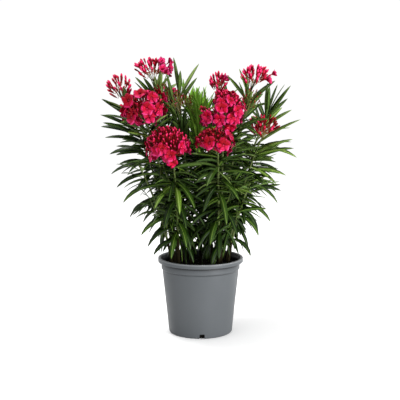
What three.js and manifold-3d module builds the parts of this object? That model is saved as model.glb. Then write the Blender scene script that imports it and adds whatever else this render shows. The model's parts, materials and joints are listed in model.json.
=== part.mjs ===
// A potted oleander: a clump of splayed woody stems in a round nursery pot. Each stem ends in its own
// mass of long narrow leaves, and most of the leaf masses carry a rounded head of flowers or buds.
// Millimetres, +Z up, origin at the centre of the pot's flat underside. The front of the plant faces -Y.
import * as THREE from "three";
import { mergeVertices } from "three/addons/utils/BufferGeometryUtils.js";
import Module from "manifold-3d";

// ---- Driving dimensions ------------------------------------------------------------------------------

const POT_HEIGHT = 250; // a 10 litre container
const RIM_RADIUS = 140; // outside of the lip
const RIM_BEVEL = 1.5;
const MOUTH_RADIUS = 131; // inside of the lip
const LIP_HEIGHT = 12.5;
const LIP_SLOPE = 6; // the lip's underside slopes up and in by this much
const COLLAR_BASE = 212; // the step below the collar
const COLLAR_STEP = 2.2; // how far the collar stands out from the wall below it
const FOOT_RADIUS = 104; // outside of the wall, carried down to the ground
const WALL_FLARE = 0.106; // how much the wall's radius grows for each millimetre of height
const WALL = 2.4;
const BASE_PLATE = 3;
const BOTTOM_ROUNDING = 6;
const POT_SIDES = 32;

const NOTCH = { count: 4, width: 16.6, height: 15.5, depth: 16, turn: 0.048 }; // drain slots in the foot
const DRAIN = { count: 4, radius: 5, ring: 58, sides: 10 }; // drain holes in the base

const SOIL_TOP = 228;
const SOIL_FALL = 5; // the soil is lower against the wall
const SOIL_FLAT_RADIUS = 117;

const GAP = 0.3; // clearance between a stem and what it stands on
const CUT_GAP = 0.35; // how much a stem's hole in its leaves is wider than the stem
const MASS_GAP = 0.45; // how much a mass's copy is swollen before it cuts its neighbours

// A stem's radius at its foot and at its tip, how much it flares at the soil and how fast that fades with
// height, how far it runs up inside its leaves, and how much of its lean its bending point has.
const STEM = { foot: 5.2, end: 3.2, flare: 1.4, fade: 14, insert: 26, bow: 0.22, sides: 6, rings: 5 };

// A leaf mass starts at foot of its full width, is fullest at that share of its length and closes from
// shoulder up. Its outer side hangs by droop of its reach at the bottom and rises by rise at the top. Every
// other ring is narrower by notch, and each point is moved in or out by up to uneven.
const LEAVES = {
  around: 8, along: 8, foot: 0.42, fullest: 0.5, shoulder: 0.6, point: 0.12,
  droop: -0.42, rise: 0.4, uneven: 0.12, notch: 0.2,
};

const HEAD = { around: 8, levels: 5, uneven: 0.09 };

const COLOUR = {
  pot: 0x74777b,
  soil: 0x1d1712,
  bark: 0x5c5136,
  leaves: 0x3f5f22,
  flowers: 0xe0134f,
  buds: 0xb01236,
};

// One entry for each stem. foot is where it leaves the soil, and tip is where its leaves give way to its
// flower head. The leaves start at the height from, reach out and inward from the stem, spread girth to each
// side, and they rise above the tip by crest. A head has its centre, its
// width and its height.
const STEMS = [
  {
    name: "front_left", foot: [-70, -60], tip: [-84, -118, 572],
    leaves: { from: 300, out: 96, inward: 42, girth: 56, crest: 24 },
    head: { at: [-102, -130, 632], across: 143, tall: 134, kind: "flowers" },
  },
  {
    name: "front_right", foot: [60, -68], tip: [54, -122, 606],
    leaves: { from: 296, out: 88, inward: 42, girth: 56, crest: 16 },
    head: { at: [38, -132, 646], across: 130, tall: 92, kind: "flowers" },
  },
  {
    name: "left_outer", foot: [-84, -8], tip: [-246, -10, 762],
    leaves: { from: 296, out: 116, inward: 38, girth: 56, crest: 34 },
    head: { at: [-263, -10, 811], across: 84, tall: 80, kind: "buds" },
  },
  {
    name: "right_outer", foot: [84, -20], tip: [194, -36, 640],
    leaves: { from: 300, out: 146, inward: 38, girth: 62, crest: 34 },
    head: { at: [217, -40, 683], across: 76, tall: 80, kind: "buds" },
  },
  {
    name: "right_leafy", foot: [74, 28], tip: [216, 46, 704],
    leaves: { from: 350, out: 108, inward: 40, girth: 60, crest: 92 },
  },
  {
    name: "left_front", foot: [-72, -42], tip: [-168, -98, 694],
    leaves: { from: 330, out: 74, inward: 38, girth: 50, crest: 24 },
    head: { at: [-180, -110, 748], across: 136, tall: 120, kind: "flowers" },
  },
  {
    name: "right_mid", foot: [66, -50], tip: [72, -62, 686],
    leaves: { from: 360, out: 66, inward: 36, girth: 46, crest: 22 },
    head: { at: [69, -70, 741], across: 150, tall: 142, kind: "flowers" },
  },
  {
    name: "left_tall", foot: [-56, 22], tip: [-152, 26, 822],
    leaves: { from: 388, out: 56, inward: 44, girth: 48, crest: 30 },
    head: { at: [-155, 30, 868], across: 120, tall: 76, kind: "flowers" },
  },
  {
    name: "right_tall", foot: [58, 2], tip: [162, 0, 800],
    leaves: { from: 396, out: 66, inward: 44, girth: 50, crest: 30 },
    head: { at: [173, 0, 846], across: 102, tall: 80, kind: "flowers" },
  },
  {
    name: "left_inner", foot: [-32, -14], tip: [-70, 4, 784],
    leaves: { from: 400, out: 40, inward: 58, girth: 44, crest: 120 },
  },
  {
    name: "right_inner", foot: [30, 8], tip: [58, 16, 784],
    leaves: { from: 400, out: 40, inward: 38, girth: 40, crest: 24 },
    head: { at: [61, 20, 827], across: 70, tall: 72, kind: "buds" },
  },
  {
    name: "left_low", foot: [-91, -56], tip: [-196, -66, 560],
    leaves: { from: 288, out: 94, inward: 36, girth: 56, crest: 60 },
  },
  {
    name: "right_low", foot: [88, -56], tip: [156, -92, 506],
    leaves: { from: 284, out: 82, inward: 36, girth: 54, crest: 58 },
  },
  {
    name: "left_rear", foot: [-76, 42], tip: [-200, 112, 668],
    leaves: { from: 322, out: 92, inward: 38, girth: 58, crest: 30 },
    head: { at: [-212, 120, 714], across: 108, tall: 92, kind: "flowers" },
  },
  {
    name: "right_rear", foot: [66, 62], tip: [196, 138, 634],
    leaves: { from: 322, out: 92, inward: 38, girth: 58, crest: 30 },
    head: { at: [208, 147, 676], across: 88, tall: 78, kind: "buds" },
  },
  {
    name: "rear_left", foot: [-40, 66], tip: [-108, 152, 724],
    leaves: { from: 345, out: 82, inward: 40, girth: 54, crest: 30 },
    head: { at: [-113, 160, 770], across: 92, tall: 82, kind: "buds" },
  },
  {
    name: "rear_right", foot: [34, 58], tip: [84, 148, 706],
    leaves: { from: 345, out: 78, inward: 40, girth: 54, crest: 30 },
    head: { at: [86, 156, 752], across: 96, tall: 84, kind: "flowers" },
  },
  {
    name: "rear_middle", foot: [2, 86], tip: [4, 192, 566],
    leaves: { from: 324, out: 84, inward: 38, girth: 60, crest: 30 },
    head: { at: [5, 200, 610], across: 112, tall: 92, kind: "flowers" },
  },
  {
    name: "middle", foot: [0, 34], tip: [-10, 58, 706],
    leaves: { from: 292, out: 40, inward: 44, girth: 46, crest: 84 },
  },
];

// ---- Solids ------------------------------------------------------------------------------------------

const wasm = await Module();
wasm.setup();

const UP = new THREE.Vector3(0, 0, 1);

// A closed geometry as a solid that can be joined and cut.
function solidOf(geometry) {
  const bare = geometry.index ? geometry.toNonIndexed() : geometry.clone();
  bare.deleteAttribute("normal");
  bare.deleteAttribute("uv");
  const merged = mergeVertices(bare, 1e-3);
  const mesh = new wasm.Mesh({
    numProp: 3,
    vertProperties: merged.attributes.position.array,
    triVerts: new Uint32Array(merged.index.array),
  });
  return new wasm.Manifold(mesh);
}

// The largest body of a solid as a geometry.
function geometryOf(solid) {
  const largest = solid.decompose().reduce((a, b) => (b.volume() > a.volume() ? b : a));
  const mesh = largest.getMesh();
  return new THREE.BufferGeometry()
    .setAttribute("position", new THREE.BufferAttribute(mesh.vertProperties, 3))
    .setIndex(new THREE.BufferAttribute(mesh.triVerts, 1));
}

// Cuts a solid by each of the others that it meets.
function cutBy(solid, others) {
  const met = others.filter((other) => !solid.intersect(other).isEmpty());
  return met.reduce((left, other) => left.subtract(other), solid);
}

// A closed skin over rings of points, with a fan over each end. Seen from the last ring's side, the
// points of each ring run anticlockwise.
function loft(rings) {
  const around = rings[0].length;
  const lastRing = (rings.length - 1) * around;
  const middleOf = (ring) => ring.reduce((sum, p) => sum.add(p), new THREE.Vector3()).divideScalar(around);
  const points = [...rings.flat(), middleOf(rings[0]), middleOf(rings.at(-1))];
  const startMiddle = points.length - 2;
  const endMiddle = points.length - 1;
  const faces = [];
  for (let j = 0; j < around; j++) {
    const next = (j + 1) % around;
    faces.push(startMiddle, next, j);
    for (let i = 0; i < lastRing; i += around) {
      const [a, b] = [i + j, i + next];
      faces.push(a, b, b + around, a, b + around, a + around);
    }
    faces.push(endMiddle, lastRing + j, lastRing + next);
  }
  return new THREE.BufferGeometry().setFromPoints(points).setIndex(faces);
}

// Lengthens a loft by an amount at each end.
function stretchEnds(rings, amount) {
  rings[0].forEach((p) => p.addScaledVector(UP, -amount));
  rings.at(-1).forEach((p) => p.addScaledVector(UP, amount));
}

// ---- Pot and soil ------------------------------------------------------------------------------------

// The outside of the pot's wall.
function wallRadius(height) {
  return FOOT_RADIUS + WALL_FLARE * height;
}

// Turns a profile of [radius, height] points about the vertical axis.
function turned(profile) {
  const points = profile.map(([radius, height]) => new THREE.Vector2(radius, height));
  return new THREE.LatheGeometry(points, POT_SIDES).rotateX(Math.PI / 2);
}

function potGeometry() {
  const lipFoot = POT_HEIGHT - LIP_HEIGHT;
  const collar = wallRadius(COLLAR_BASE) + COLLAR_STEP;
  const shell = turned([
    [0, 0],
    [wallRadius(0) - BOTTOM_ROUNDING, 0],
    [wallRadius(0) - BOTTOM_ROUNDING * 0.3, BOTTOM_ROUNDING * 0.3],
    [wallRadius(BOTTOM_ROUNDING), BOTTOM_ROUNDING],
    [wallRadius(COLLAR_BASE), COLLAR_BASE],
    [collar, COLLAR_BASE + COLLAR_STEP],
    [collar, lipFoot + LIP_SLOPE],
    [RIM_RADIUS, lipFoot],
    [RIM_RADIUS, POT_HEIGHT - RIM_BEVEL],
    [RIM_RADIUS - RIM_BEVEL, POT_HEIGHT],
    [MOUTH_RADIUS, POT_HEIGHT],
    [collar - WALL, lipFoot],
    [collar - WALL, COLLAR_BASE + COLLAR_STEP],
    [wallRadius(COLLAR_BASE) - WALL, COLLAR_BASE],
    [wallRadius(BASE_PLATE) - WALL, BASE_PLATE],
    [0, BASE_PLATE],
  ]);
  let pot = solidOf(shell);
  for (let i = 0; i < NOTCH.count; i++) {
    const slot = new THREE.BoxGeometry(NOTCH.width, NOTCH.depth * 2, NOTCH.height * 2);
    slot.translate(0, -FOOT_RADIUS, 0).rotateZ(NOTCH.turn + (i * 2 * Math.PI) / NOTCH.count);
    pot = pot.subtract(solidOf(slot));
  }
  for (let i = 0; i < DRAIN.count; i++) {
    const hole = new THREE.CylinderGeometry(DRAIN.radius, DRAIN.radius, BASE_PLATE * 4, DRAIN.sides);
    hole.rotateX(Math.PI / 2).translate(DRAIN.ring, 0, 0).rotateZ(((i + 0.5) * 2 * Math.PI) / DRAIN.count);
    pot = pot.subtract(solidOf(hole));
  }
  return geometryOf(pot);
}

function soilGeometry() {
  const inside = (height) => wallRadius(height) - WALL - GAP;
  const edge = SOIL_TOP - SOIL_FALL;
  return turned([
    [0, BASE_PLATE + GAP],
    [inside(BASE_PLATE) - GAP, BASE_PLATE + GAP],
    [inside(COLLAR_BASE), COLLAR_BASE],
    [inside(edge), edge],
    [SOIL_FLAT_RADIUS, SOIL_TOP],
    [0, SOIL_TOP],
  ]);
}

// ---- Stems -------------------------------------------------------------------------------------------

// The stem's centre line from the soil to its tip: it leaves the soil steeply and leans out more above.
function centreLine({ foot, tip }) {
  const start = new THREE.Vector3(foot[0], foot[1], SOIL_TOP + GAP);
  const end = new THREE.Vector3(...tip);
  const bend = start.clone().lerp(end, STEM.bow).setZ((start.z + end.z) / 2);
  return new THREE.QuadraticBezierCurve3(start, bend, end);
}

// How far along the centre line, from 0 to 1, it reaches a height.
function shareAtHeight(line, height) {
  return (height - line.v0.z) / (line.v2.z - line.v0.z);
}

// A level ring round a point. Odd rows are turned by half a step.
function ringPoints(centre, sides, row, pointAt) {
  return Array.from({ length: sides }, (_, j) => {
    const angle = ((j + 0.5 * (row % 2)) * 2 * Math.PI) / sides;
    return pointAt(angle, j).add(centre);
  });
}

function stemGeometry(stem, clearance = 0) {
  const line = centreLine(stem);
  const endShare = shareAtHeight(line, stem.leaves.from + STEM.insert);
  const rings = [];
  for (let i = 0; i < STEM.rings; i++) {
    const share = (i / (STEM.rings - 1)) ** 1.5 * endShare;
    const centre = line.getPoint(share);
    const flare = 1 + (STEM.flare - 1) * Math.exp((SOIL_TOP - centre.z) / STEM.fade);
    const radius = THREE.MathUtils.lerp(STEM.foot, STEM.end, share) * flare + clearance;
    const onCircle = (angle) => new THREE.Vector3(Math.cos(angle), Math.sin(angle), 0).multiplyScalar(radius);
    rings.push(ringPoints(centre, STEM.sides, 0, onCircle));
  }
  stretchEnds(rings, clearance);
  return loft(rings);
}

// ---- Leaf masses -------------------------------------------------------------------------------------

// The width of a leaf mass, as a share of its full width, at a share of its length from its foot.
function fullness(up, row) {
  const swell = LEAVES.foot + (1 - LEAVES.foot) * THREE.MathUtils.smoothstep(up, 0, LEAVES.fullest);
  const closing = Math.max(0, (up - LEAVES.shoulder) / (1 - LEAVES.shoulder));
  const close = Math.sqrt(Math.max(LEAVES.point ** 2, 1 - closing ** 2.2));
  return swell * close * (row % 2 ? 1 : 1 - LEAVES.notch);
}

// A lopsided sleeve round the stem's upper part: narrow below, fullest half way up and closed above, like
// a broom of long leaves that droop below, rise above and reach further on the plant's outside.
function leafMassGeometry({ leaves, ...stem }, index, clearance = 0) {
  const line = centreLine(stem);
  const tip = line.v2;
  const outward = tip.clone().setZ(0).normalize();
  const sideways = new THREE.Vector3().crossVectors(UP, outward);
  const spread = (leaves.out + leaves.inward) / 2;
  const offset = (leaves.out - leaves.inward) / 2;
  const length = tip.z + leaves.crest - leaves.from;
  const rings = [];
  for (let i = 0; i < LEAVES.along; i++) {
    const up = i / (LEAVES.along - 1);
    const height = leaves.from + up * length;
    const aboveTip = Math.max(0, height - tip.z);
    const centre = line.getPoint(Math.min(1, shareAtHeight(line, height)));
    centre.addScaledVector(line.getTangent(1), aboveTip);
    const size = fullness(up, i);
    const lift = THREE.MathUtils.lerp(LEAVES.droop, LEAVES.rise, THREE.MathUtils.smoothstep(up, 0, 0.9));
    const middle = outward.clone().multiplyScalar(offset * size);
    const onRing = (angle, j) => {
      const bump = 1 + LEAVES.uneven * Math.sin(2.7 * j + 1.9 * i + 1.3 * index);
      const reach = (offset + spread * Math.cos(angle) * bump) * size;
      const point = outward.clone().multiplyScalar(reach);
      point.addScaledVector(sideways, leaves.girth * Math.sin(angle) * bump * size);
      point.addScaledVector(UP, Math.max(0, reach) * lift);
      const away = point.clone().sub(middle).normalize();
      return point.addScaledVector(away, clearance);
    };
    rings.push(ringPoints(centre, LEAVES.around, i, onRing));
  }
  stretchEnds(rings, clearance);
  return loft(rings);
}

// ---- Flower heads ------------------------------------------------------------------------------------

// An uneven ball of flowers: rings of latitude whose points are moved in and out.
function headGeometry({ at, across, tall }, index, clearance = 0) {
  const centre = new THREE.Vector3(...at);
  const rings = [];
  for (let i = 0; i < HEAD.levels; i++) {
    const polar = Math.PI * ((i + 0.6) / (HEAD.levels + 0.2));
    const onRing = (angle, j) => {
      const bump = 1 + HEAD.uneven * Math.sin(2.3 * j + 3.1 * i + 1.7 * index);
      const radius = (across / 2) * Math.sin(polar) * bump + clearance;
      return new THREE.Vector3(
        Math.cos(angle) * radius,
        Math.sin(angle) * radius,
        -(tall / 2) * Math.cos(polar),
      );
    };
    rings.push(ringPoints(centre, HEAD.around, i, onRing));
  }
  stretchEnds(rings, clearance);
  return loft(rings);
}

// ---- The plant ---------------------------------------------------------------------------------------

const plant = new THREE.Group();

function addPiece(name, geometry, colour, roughness) {
  const material = new THREE.MeshStandardMaterial({ color: colour, roughness, metalness: 0 });
  const mesh = new THREE.Mesh(geometry, material);
  mesh.name = name;
  plant.add(mesh);
}

addPiece("pot", potGeometry(), COLOUR.pot, 0.5);
addPiece("soil", soilGeometry(), COLOUR.soil, 0.95);

// Pieces made later give way to swollen copies of the ones before them.
const taken = [];

STEMS.forEach((stem) => {
  addPiece("stem_" + stem.name, stemGeometry(stem), COLOUR.bark, 0.85);
  taken.push(solidOf(stemGeometry(stem, CUT_GAP)));
});

STEMS.forEach(({ name, head }, index) => {
  if (!head) return;
  const solid = cutBy(solidOf(headGeometry(head, index)), taken);
  addPiece("head_" + name, geometryOf(solid), COLOUR[head.kind], 0.6);
  taken.push(solidOf(headGeometry(head, index, MASS_GAP)));
});

STEMS.forEach((stem, index) => {
  const solid = cutBy(solidOf(leafMassGeometry(stem, index)), taken);
  addPiece("leaves_" + stem.name, geometryOf(solid), COLOUR.leaves, 0.6);
  taken.push(solidOf(leafMassGeometry(stem, index, MASS_GAP)));
});

export default plant;
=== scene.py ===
# %% [markdown]
# # A potted oleander in flower
#
# An oleander is a shrub of many stems that leave the soil close together and splay apart. Long narrow
# leaves stand round each stem in threes, and most stems end in a rounded head of flowers and buds. The
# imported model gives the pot, the stems and the bulk of each mass of leaves. This lesson grows the real
# plant in their place, from whole arrays of points.

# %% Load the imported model
import json
import math
from collections import namedtuple

import bpy
import numpy as np
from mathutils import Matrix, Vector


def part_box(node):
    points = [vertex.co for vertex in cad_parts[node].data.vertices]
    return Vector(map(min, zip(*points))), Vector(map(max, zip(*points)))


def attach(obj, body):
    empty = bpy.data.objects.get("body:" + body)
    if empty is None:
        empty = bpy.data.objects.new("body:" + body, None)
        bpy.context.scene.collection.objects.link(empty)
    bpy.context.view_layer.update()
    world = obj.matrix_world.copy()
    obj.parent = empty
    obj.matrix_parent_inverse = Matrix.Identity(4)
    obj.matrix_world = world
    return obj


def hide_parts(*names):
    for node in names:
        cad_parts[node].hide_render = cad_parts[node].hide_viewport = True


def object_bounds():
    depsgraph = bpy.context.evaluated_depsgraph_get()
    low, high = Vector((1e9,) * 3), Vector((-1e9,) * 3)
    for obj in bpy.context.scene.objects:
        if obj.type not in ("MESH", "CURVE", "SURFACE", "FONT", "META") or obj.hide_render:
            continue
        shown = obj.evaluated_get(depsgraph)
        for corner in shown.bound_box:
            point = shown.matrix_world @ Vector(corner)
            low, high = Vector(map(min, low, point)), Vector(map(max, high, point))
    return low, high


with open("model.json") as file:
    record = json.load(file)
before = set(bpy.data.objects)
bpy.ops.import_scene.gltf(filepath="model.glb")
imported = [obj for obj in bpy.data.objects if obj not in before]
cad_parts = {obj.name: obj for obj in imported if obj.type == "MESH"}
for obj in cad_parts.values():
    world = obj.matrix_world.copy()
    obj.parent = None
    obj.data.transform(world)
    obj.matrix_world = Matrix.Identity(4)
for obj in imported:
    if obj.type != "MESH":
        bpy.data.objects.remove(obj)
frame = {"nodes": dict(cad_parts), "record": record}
cad_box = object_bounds()
MM = 0.001
UP = np.array([0, 0, 1.0])
LEVEL = np.array([1, 1, 0])
PLANT_SEED = 331
BLOOM_SEED = 47
FLOWER_SEED = 3
chance = np.random.default_rng(PLANT_SEED)
print("nodes:", len(frame["nodes"]), "box:", [tuple(round(c, 3) for c in corner) for corner in cad_box])

# %% [markdown]
# ## Camera
#
# The plant is seen from a little above, from far enough away that the pot's mouth is a thin ellipse. A
# long lens at three metres gives that. The camera is made first, so that every later look is through it.

# %% Camera
CAMERA_PLACE = (-0.0018, -3.0, 0.86)
CAMERA_DOWN = math.radians(8.0)
CAMERA_LENS = 83.43
CAMERA_SENSOR = 36.0


def put_in_scene(name, data):
    """Makes an object of a mesh, a light or a camera and links it into the scene."""
    made = bpy.data.objects.new(name, data)
    bpy.context.scene.collection.objects.link(made)
    return made


camera = put_in_scene("camera", bpy.data.cameras.new("camera"))
camera.data.lens = CAMERA_LENS
camera.data.sensor_width = CAMERA_SENSOR
camera.location = CAMERA_PLACE
camera.rotation_euler = (math.pi / 2 - CAMERA_DOWN, 0, 0)
bpy.context.scene.camera = camera
print("camera at", CAMERA_PLACE)

# %% [markdown]
# ## Shader maths as Python
#
# A finish is a graph of nodes, which is hard to read as a list of links. A small class wraps one node
# output and overloads the two signs used here, so that `cloud * 0.6 + 0.6` adds the Math nodes by itself.
# Every other node comes from one method.


# %% Shader helpers
class Wire:
    """One output of a shader node. Arithmetic on it adds Math nodes."""

    def __init__(self, finish, output):
        self.finish = finish
        self.output = output

    def _math(self, operation, first, second):
        return self.finish.node("ShaderNodeMath", {"operation": operation}, {0: first, 1: second})

    def __add__(self, other):
        return self._math("ADD", self, other)

    def __mul__(self, other):
        return self._math("MULTIPLY", self, other)

    __radd__ = __add__
    __rmul__ = __mul__


def socket_name(word):
    """The shader's own name for a socket: base_color is Base Color, and ior is IOR."""
    return word.replace("_", " ").title().replace("Ior", "IOR")


class Finish:
    """A material with one Principled shader. Constants go straight on the shader's sockets."""

    def __init__(self, name, colour, roughness, **constants):
        self.material = bpy.data.materials.new(name)
        self.material.use_nodes = True
        self.tree = self.material.node_tree
        self.shader = self.tree.nodes["Principled BSDF"]
        self.shader.inputs["Base Color"].default_value = (*colour, 1)
        self.shader.inputs["Roughness"].default_value = roughness
        for socket, value in constants.items():
            self.shader.inputs[socket_name(socket)].default_value = value
        self.material.diffuse_color = (*colour, 1)

    def node(self, kind, settings=(), sockets=(), output=0):
        """Adds a node of that kind, with its settings first and then its sockets' values or links."""
        made = self.tree.nodes.new(kind)
        for key, value in dict(settings).items():
            if key == "stops":
                self._ramp(made.color_ramp, value)
            else:
                setattr(made, key, value)
        for key, value in dict(sockets).items():
            self._feed(made.inputs[key], value)
        return Wire(self, made.outputs[output])

    def _ramp(self, ramp, stops):
        while len(ramp.elements) < len(stops):
            ramp.elements.new(0.5)
        for element, (position, colour) in zip(ramp.elements, stops):
            element.position = position
            element.color = (*colour, 1)

    def _feed(self, socket, value):
        if isinstance(value, Wire):
            self.tree.links.new(value.output, socket)
        else:
            socket.default_value = value

    def feed(self, **sockets):
        """Links wires into the shader's own sockets."""
        for socket, value in sockets.items():
            self._feed(self.shader.inputs[socket_name(socket)], value)
        return self

    def place(self):
        """Where a point of the surface is, on the object's own coordinates."""
        return self.node("ShaderNodeTexCoord", output="Object")

    def height(self):
        """How far a point of the surface is above the floor."""
        return self.node("ShaderNodeSeparateXYZ", {}, {"Vector": self.place()}, output="Z")

    def noise(self, scale, detail=3.0, stretch=(1, 1, 1)):
        """Noise on the object's own coordinates, stretched along each axis."""
        spread = self.node("ShaderNodeMapping", {}, {"Vector": self.place(), "Scale": stretch})
        return self.node("ShaderNodeTexNoise", {}, {"Vector": spread, "Scale": scale, "Detail": detail})

    def fit(self, value, low, high, new_low=0.0, new_high=1.0):
        """Carries a wire's values from low to high over to a new range, and holds them at its ends."""
        sockets = {"Value": value, "From Min": low, "From Max": high, "To Min": new_low, "To Max": new_high}
        return self.node("ShaderNodeMapRange", {}, sockets)

    def ramp(self, share, stops):
        """A colour for each value of a wire, between stops of a value from 0 to 1 and a colour."""
        return self.node("ShaderNodeValToRGB", {"stops": stops}, {"Fac": share})

    def blend(self, share, low, high):
        """Mixes two plain colours by a wire from 0 to 1."""
        return self.ramp(share, ((0.0, low), (1.0, high)))

    def mix(self, share, colour, other):
        """Mixes a colour wire with one plain colour, by a wire from 0 to 1."""
        sockets = {0: share, 6: colour, 7: (*other, 1)}
        return self.node("ShaderNodeMix", {"data_type": "RGBA"}, sockets, output=2)

    def bump(self, height, distance):
        """Relief of that depth in metres, for the shader's Normal."""
        return self.node("ShaderNodeBump", {}, {"Height": height, "Distance": distance, "Strength": 1.0})


def screen(red, green, blue):
    """A colour as a screen shows it, 0 to 255, as the linear numbers that a shader takes."""
    share = np.array([red, green, blue]) / 255
    return tuple(float(c) for c in np.where(share < 0.04045, share / 12.92, ((share + 0.055) / 1.055) ** 2.4))


print("shader helpers ready")

# %% [markdown]
# ## Meshes from whole arrays
#
# Stems, twigs, stalks, leaves and buds are all the same thing to a computer: rings of points carried
# along a line, with a point at each end. One function closes a whole stack of such skins at once, so a
# thousand leaves cost one call. Making each from Blender's own primitives would take a loop and minutes.


# %% Mesh helpers
def unit(vectors):
    """Vectors scaled to length one, along the last axis."""
    return vectors / np.maximum(np.linalg.norm(vectors, axis=-1, keepdims=True), 1e-9)


def around_axis(radius, angle, height):
    """Points round the vertical axis: x = radius * cos(angle), y = radius * sin(angle), z = height."""
    return np.stack(np.broadcast_arrays(radius * np.cos(angle), radius * np.sin(angle), height), -1)


def swung(x, y, angle):
    """Two parts turned into each other: x cos a - y sin a, and x sin a + y cos a."""
    cosine, sine = np.cos(angle), np.sin(angle)
    return x * cosine - y * sine, x * sine + y * cosine


def full_circle(steps):
    """Evenly spaced angles once round, without the last, which is the first again."""
    return np.linspace(0, 2 * math.pi, steps, endpoint=False)


def skins(rings, start, end):
    """Closes N skins at once. rings is (N, K, S, 3), each ring anticlockwise seen from the end, and start
    and end are (N, 3) poles. Ring point (k, s) is joined to (k, s+1), (k+1, s+1) and (k+1, s)."""
    count, along, around, _ = rings.shape
    size = along * around + 2
    points = np.concatenate([rings.reshape(count, -1, 3), start[:, None], end[:, None]], axis=1)
    k, s = np.meshgrid(np.arange(along - 1), np.arange(around), indexing="ij")
    turn = (s + 1) % around
    quads = np.stack([k * around + s, k * around + turn, (k + 1) * around + turn, (k + 1) * around + s], -1)
    edge = np.arange(around)
    turned = (edge + 1) % around
    last = (along - 1) * around
    low = np.stack([np.full(around, size - 2), turned, edge], -1)
    high = np.stack([np.full(around, size - 1), last + edge, last + turned], -1)
    offset = (np.arange(count) * size)[:, None, None]
    quads = (quads.reshape(1, -1, 4) + offset).reshape(-1, 4)
    triangles = (np.concatenate([low, high])[None] + offset).reshape(-1, 3)
    return points.reshape(-1, 3), quads, triangles


def finish_rows(quads, ends, count):
    """The number of each face's finish, for count skins alike: all their quads, then all their ends."""
    return np.concatenate([np.tile(quads, count), np.tile(ends, count)])


def piece(name, points, quads, triangles, finishes, slot, finish_of=None, smooth=True):
    """Puts arrays into a mesh on the root body, with finish_of giving each face's finish, quads first."""
    mesh = bpy.data.meshes.new(name)
    corners = np.concatenate([quads.ravel(), triangles.ravel()]).astype(np.int32)
    starts = np.concatenate([np.arange(len(quads)) * 4, len(quads) * 4 + np.arange(len(triangles)) * 3])
    mesh.vertices.add(len(points))
    mesh.vertices.foreach_set("co", np.asarray(points, np.float32).ravel())
    mesh.loops.add(len(corners))
    mesh.loops.foreach_set("vertex_index", corners)
    mesh.polygons.add(len(starts))
    mesh.polygons.foreach_set("loop_start", starts.astype(np.int32))
    for finish in finishes:
        mesh.materials.append(finish.material)
    if finish_of is not None:
        mesh.polygons.foreach_set("material_index", np.asarray(finish_of, np.int32))
    mesh.polygons.foreach_set("use_smooth", np.full(len(starts), smooth))
    mesh.update(calc_edges=True)
    mesh.validate()
    made = put_in_scene(name, mesh)
    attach(made, "root")
    print(f"{name}: {len(quads) * 2 + len(triangles)} triangles")
    return made


def across_line(lines):
    """Two unit vectors square to each line (N, K, 3) at each point, found from its own direction."""
    ahead = unit(np.gradient(lines, axis=1))
    steady = np.where(np.abs(ahead[:, :1, 2:]) > 0.9, [1.0, 0, 0], UP)
    side = unit(np.cross(np.broadcast_to(steady, ahead.shape), ahead))
    return side, np.cross(ahead, side)


def tubes(lines, radii, sides):
    """Round skins along lines (N, K, 3): point = line + radius * (side * cos a + up * sin a)."""
    side, up = across_line(lines)
    angle = full_circle(sides)[:, None]
    rim = side[:, :, None] * np.cos(angle) + up[:, :, None] * np.sin(angle)
    rings = lines[:, :, None] + np.asarray(radii)[..., None, None] * rim
    return skins(rings, lines[:, 0], lines[:, -1])


print("mesh helpers ready")

# %% [markdown]
# ## The pot
#
# A nursery pot is moulded in one piece: a tapered wall, a step up to a collar, and a rolled lip that
# stiffens the mouth. It could be turned with the Screw modifier, but a profile carried round a circle
# keeps every size as a number. The four drain slots at the foot and the holes below are cut afterwards.

# %% Pot shape
POT_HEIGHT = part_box("pot")[1].z
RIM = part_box("pot")[1].x
FOOT = 104 * MM
FLARE = 0.106
WALL = 2.4 * MM
COLLAR_BASE = 212 * MM
COLLAR_STEP = 2.8 * MM
LIP_FOOT = POT_HEIGHT - 14 * MM
MOUTH = 131 * MM
BASE = 3 * MM
HUB = 20 * MM
FOOT_ROUND = 6 * MM
STEP_ROUND = 1.2 * MM
LIP_HOLLOW = 2 * MM
LIP_ROUND = 1.4 * MM
RIM_ROLL = 2.6 * MM
POT_COLUMNS = 144


def wall_radius(height):
    """The tapered wall's outer radius at a height."""
    return FOOT + FLARE * height


def arc(centre, radius, begin, finish, steps):
    """Points of an arc on a profile, between two angles in degrees."""
    angle = np.radians(np.linspace(begin, finish, steps))
    return np.stack([centre[0] + radius * np.cos(angle), centre[1] + radius * np.sin(angle)], -1)


def straight(first, second, steps):
    """Evenly spaced points from first up to, but not including, second."""
    share = np.linspace(0, 1, steps, endpoint=False)[:, None]
    return np.array(first) * (1 - share) + np.array(second) * share


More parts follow.
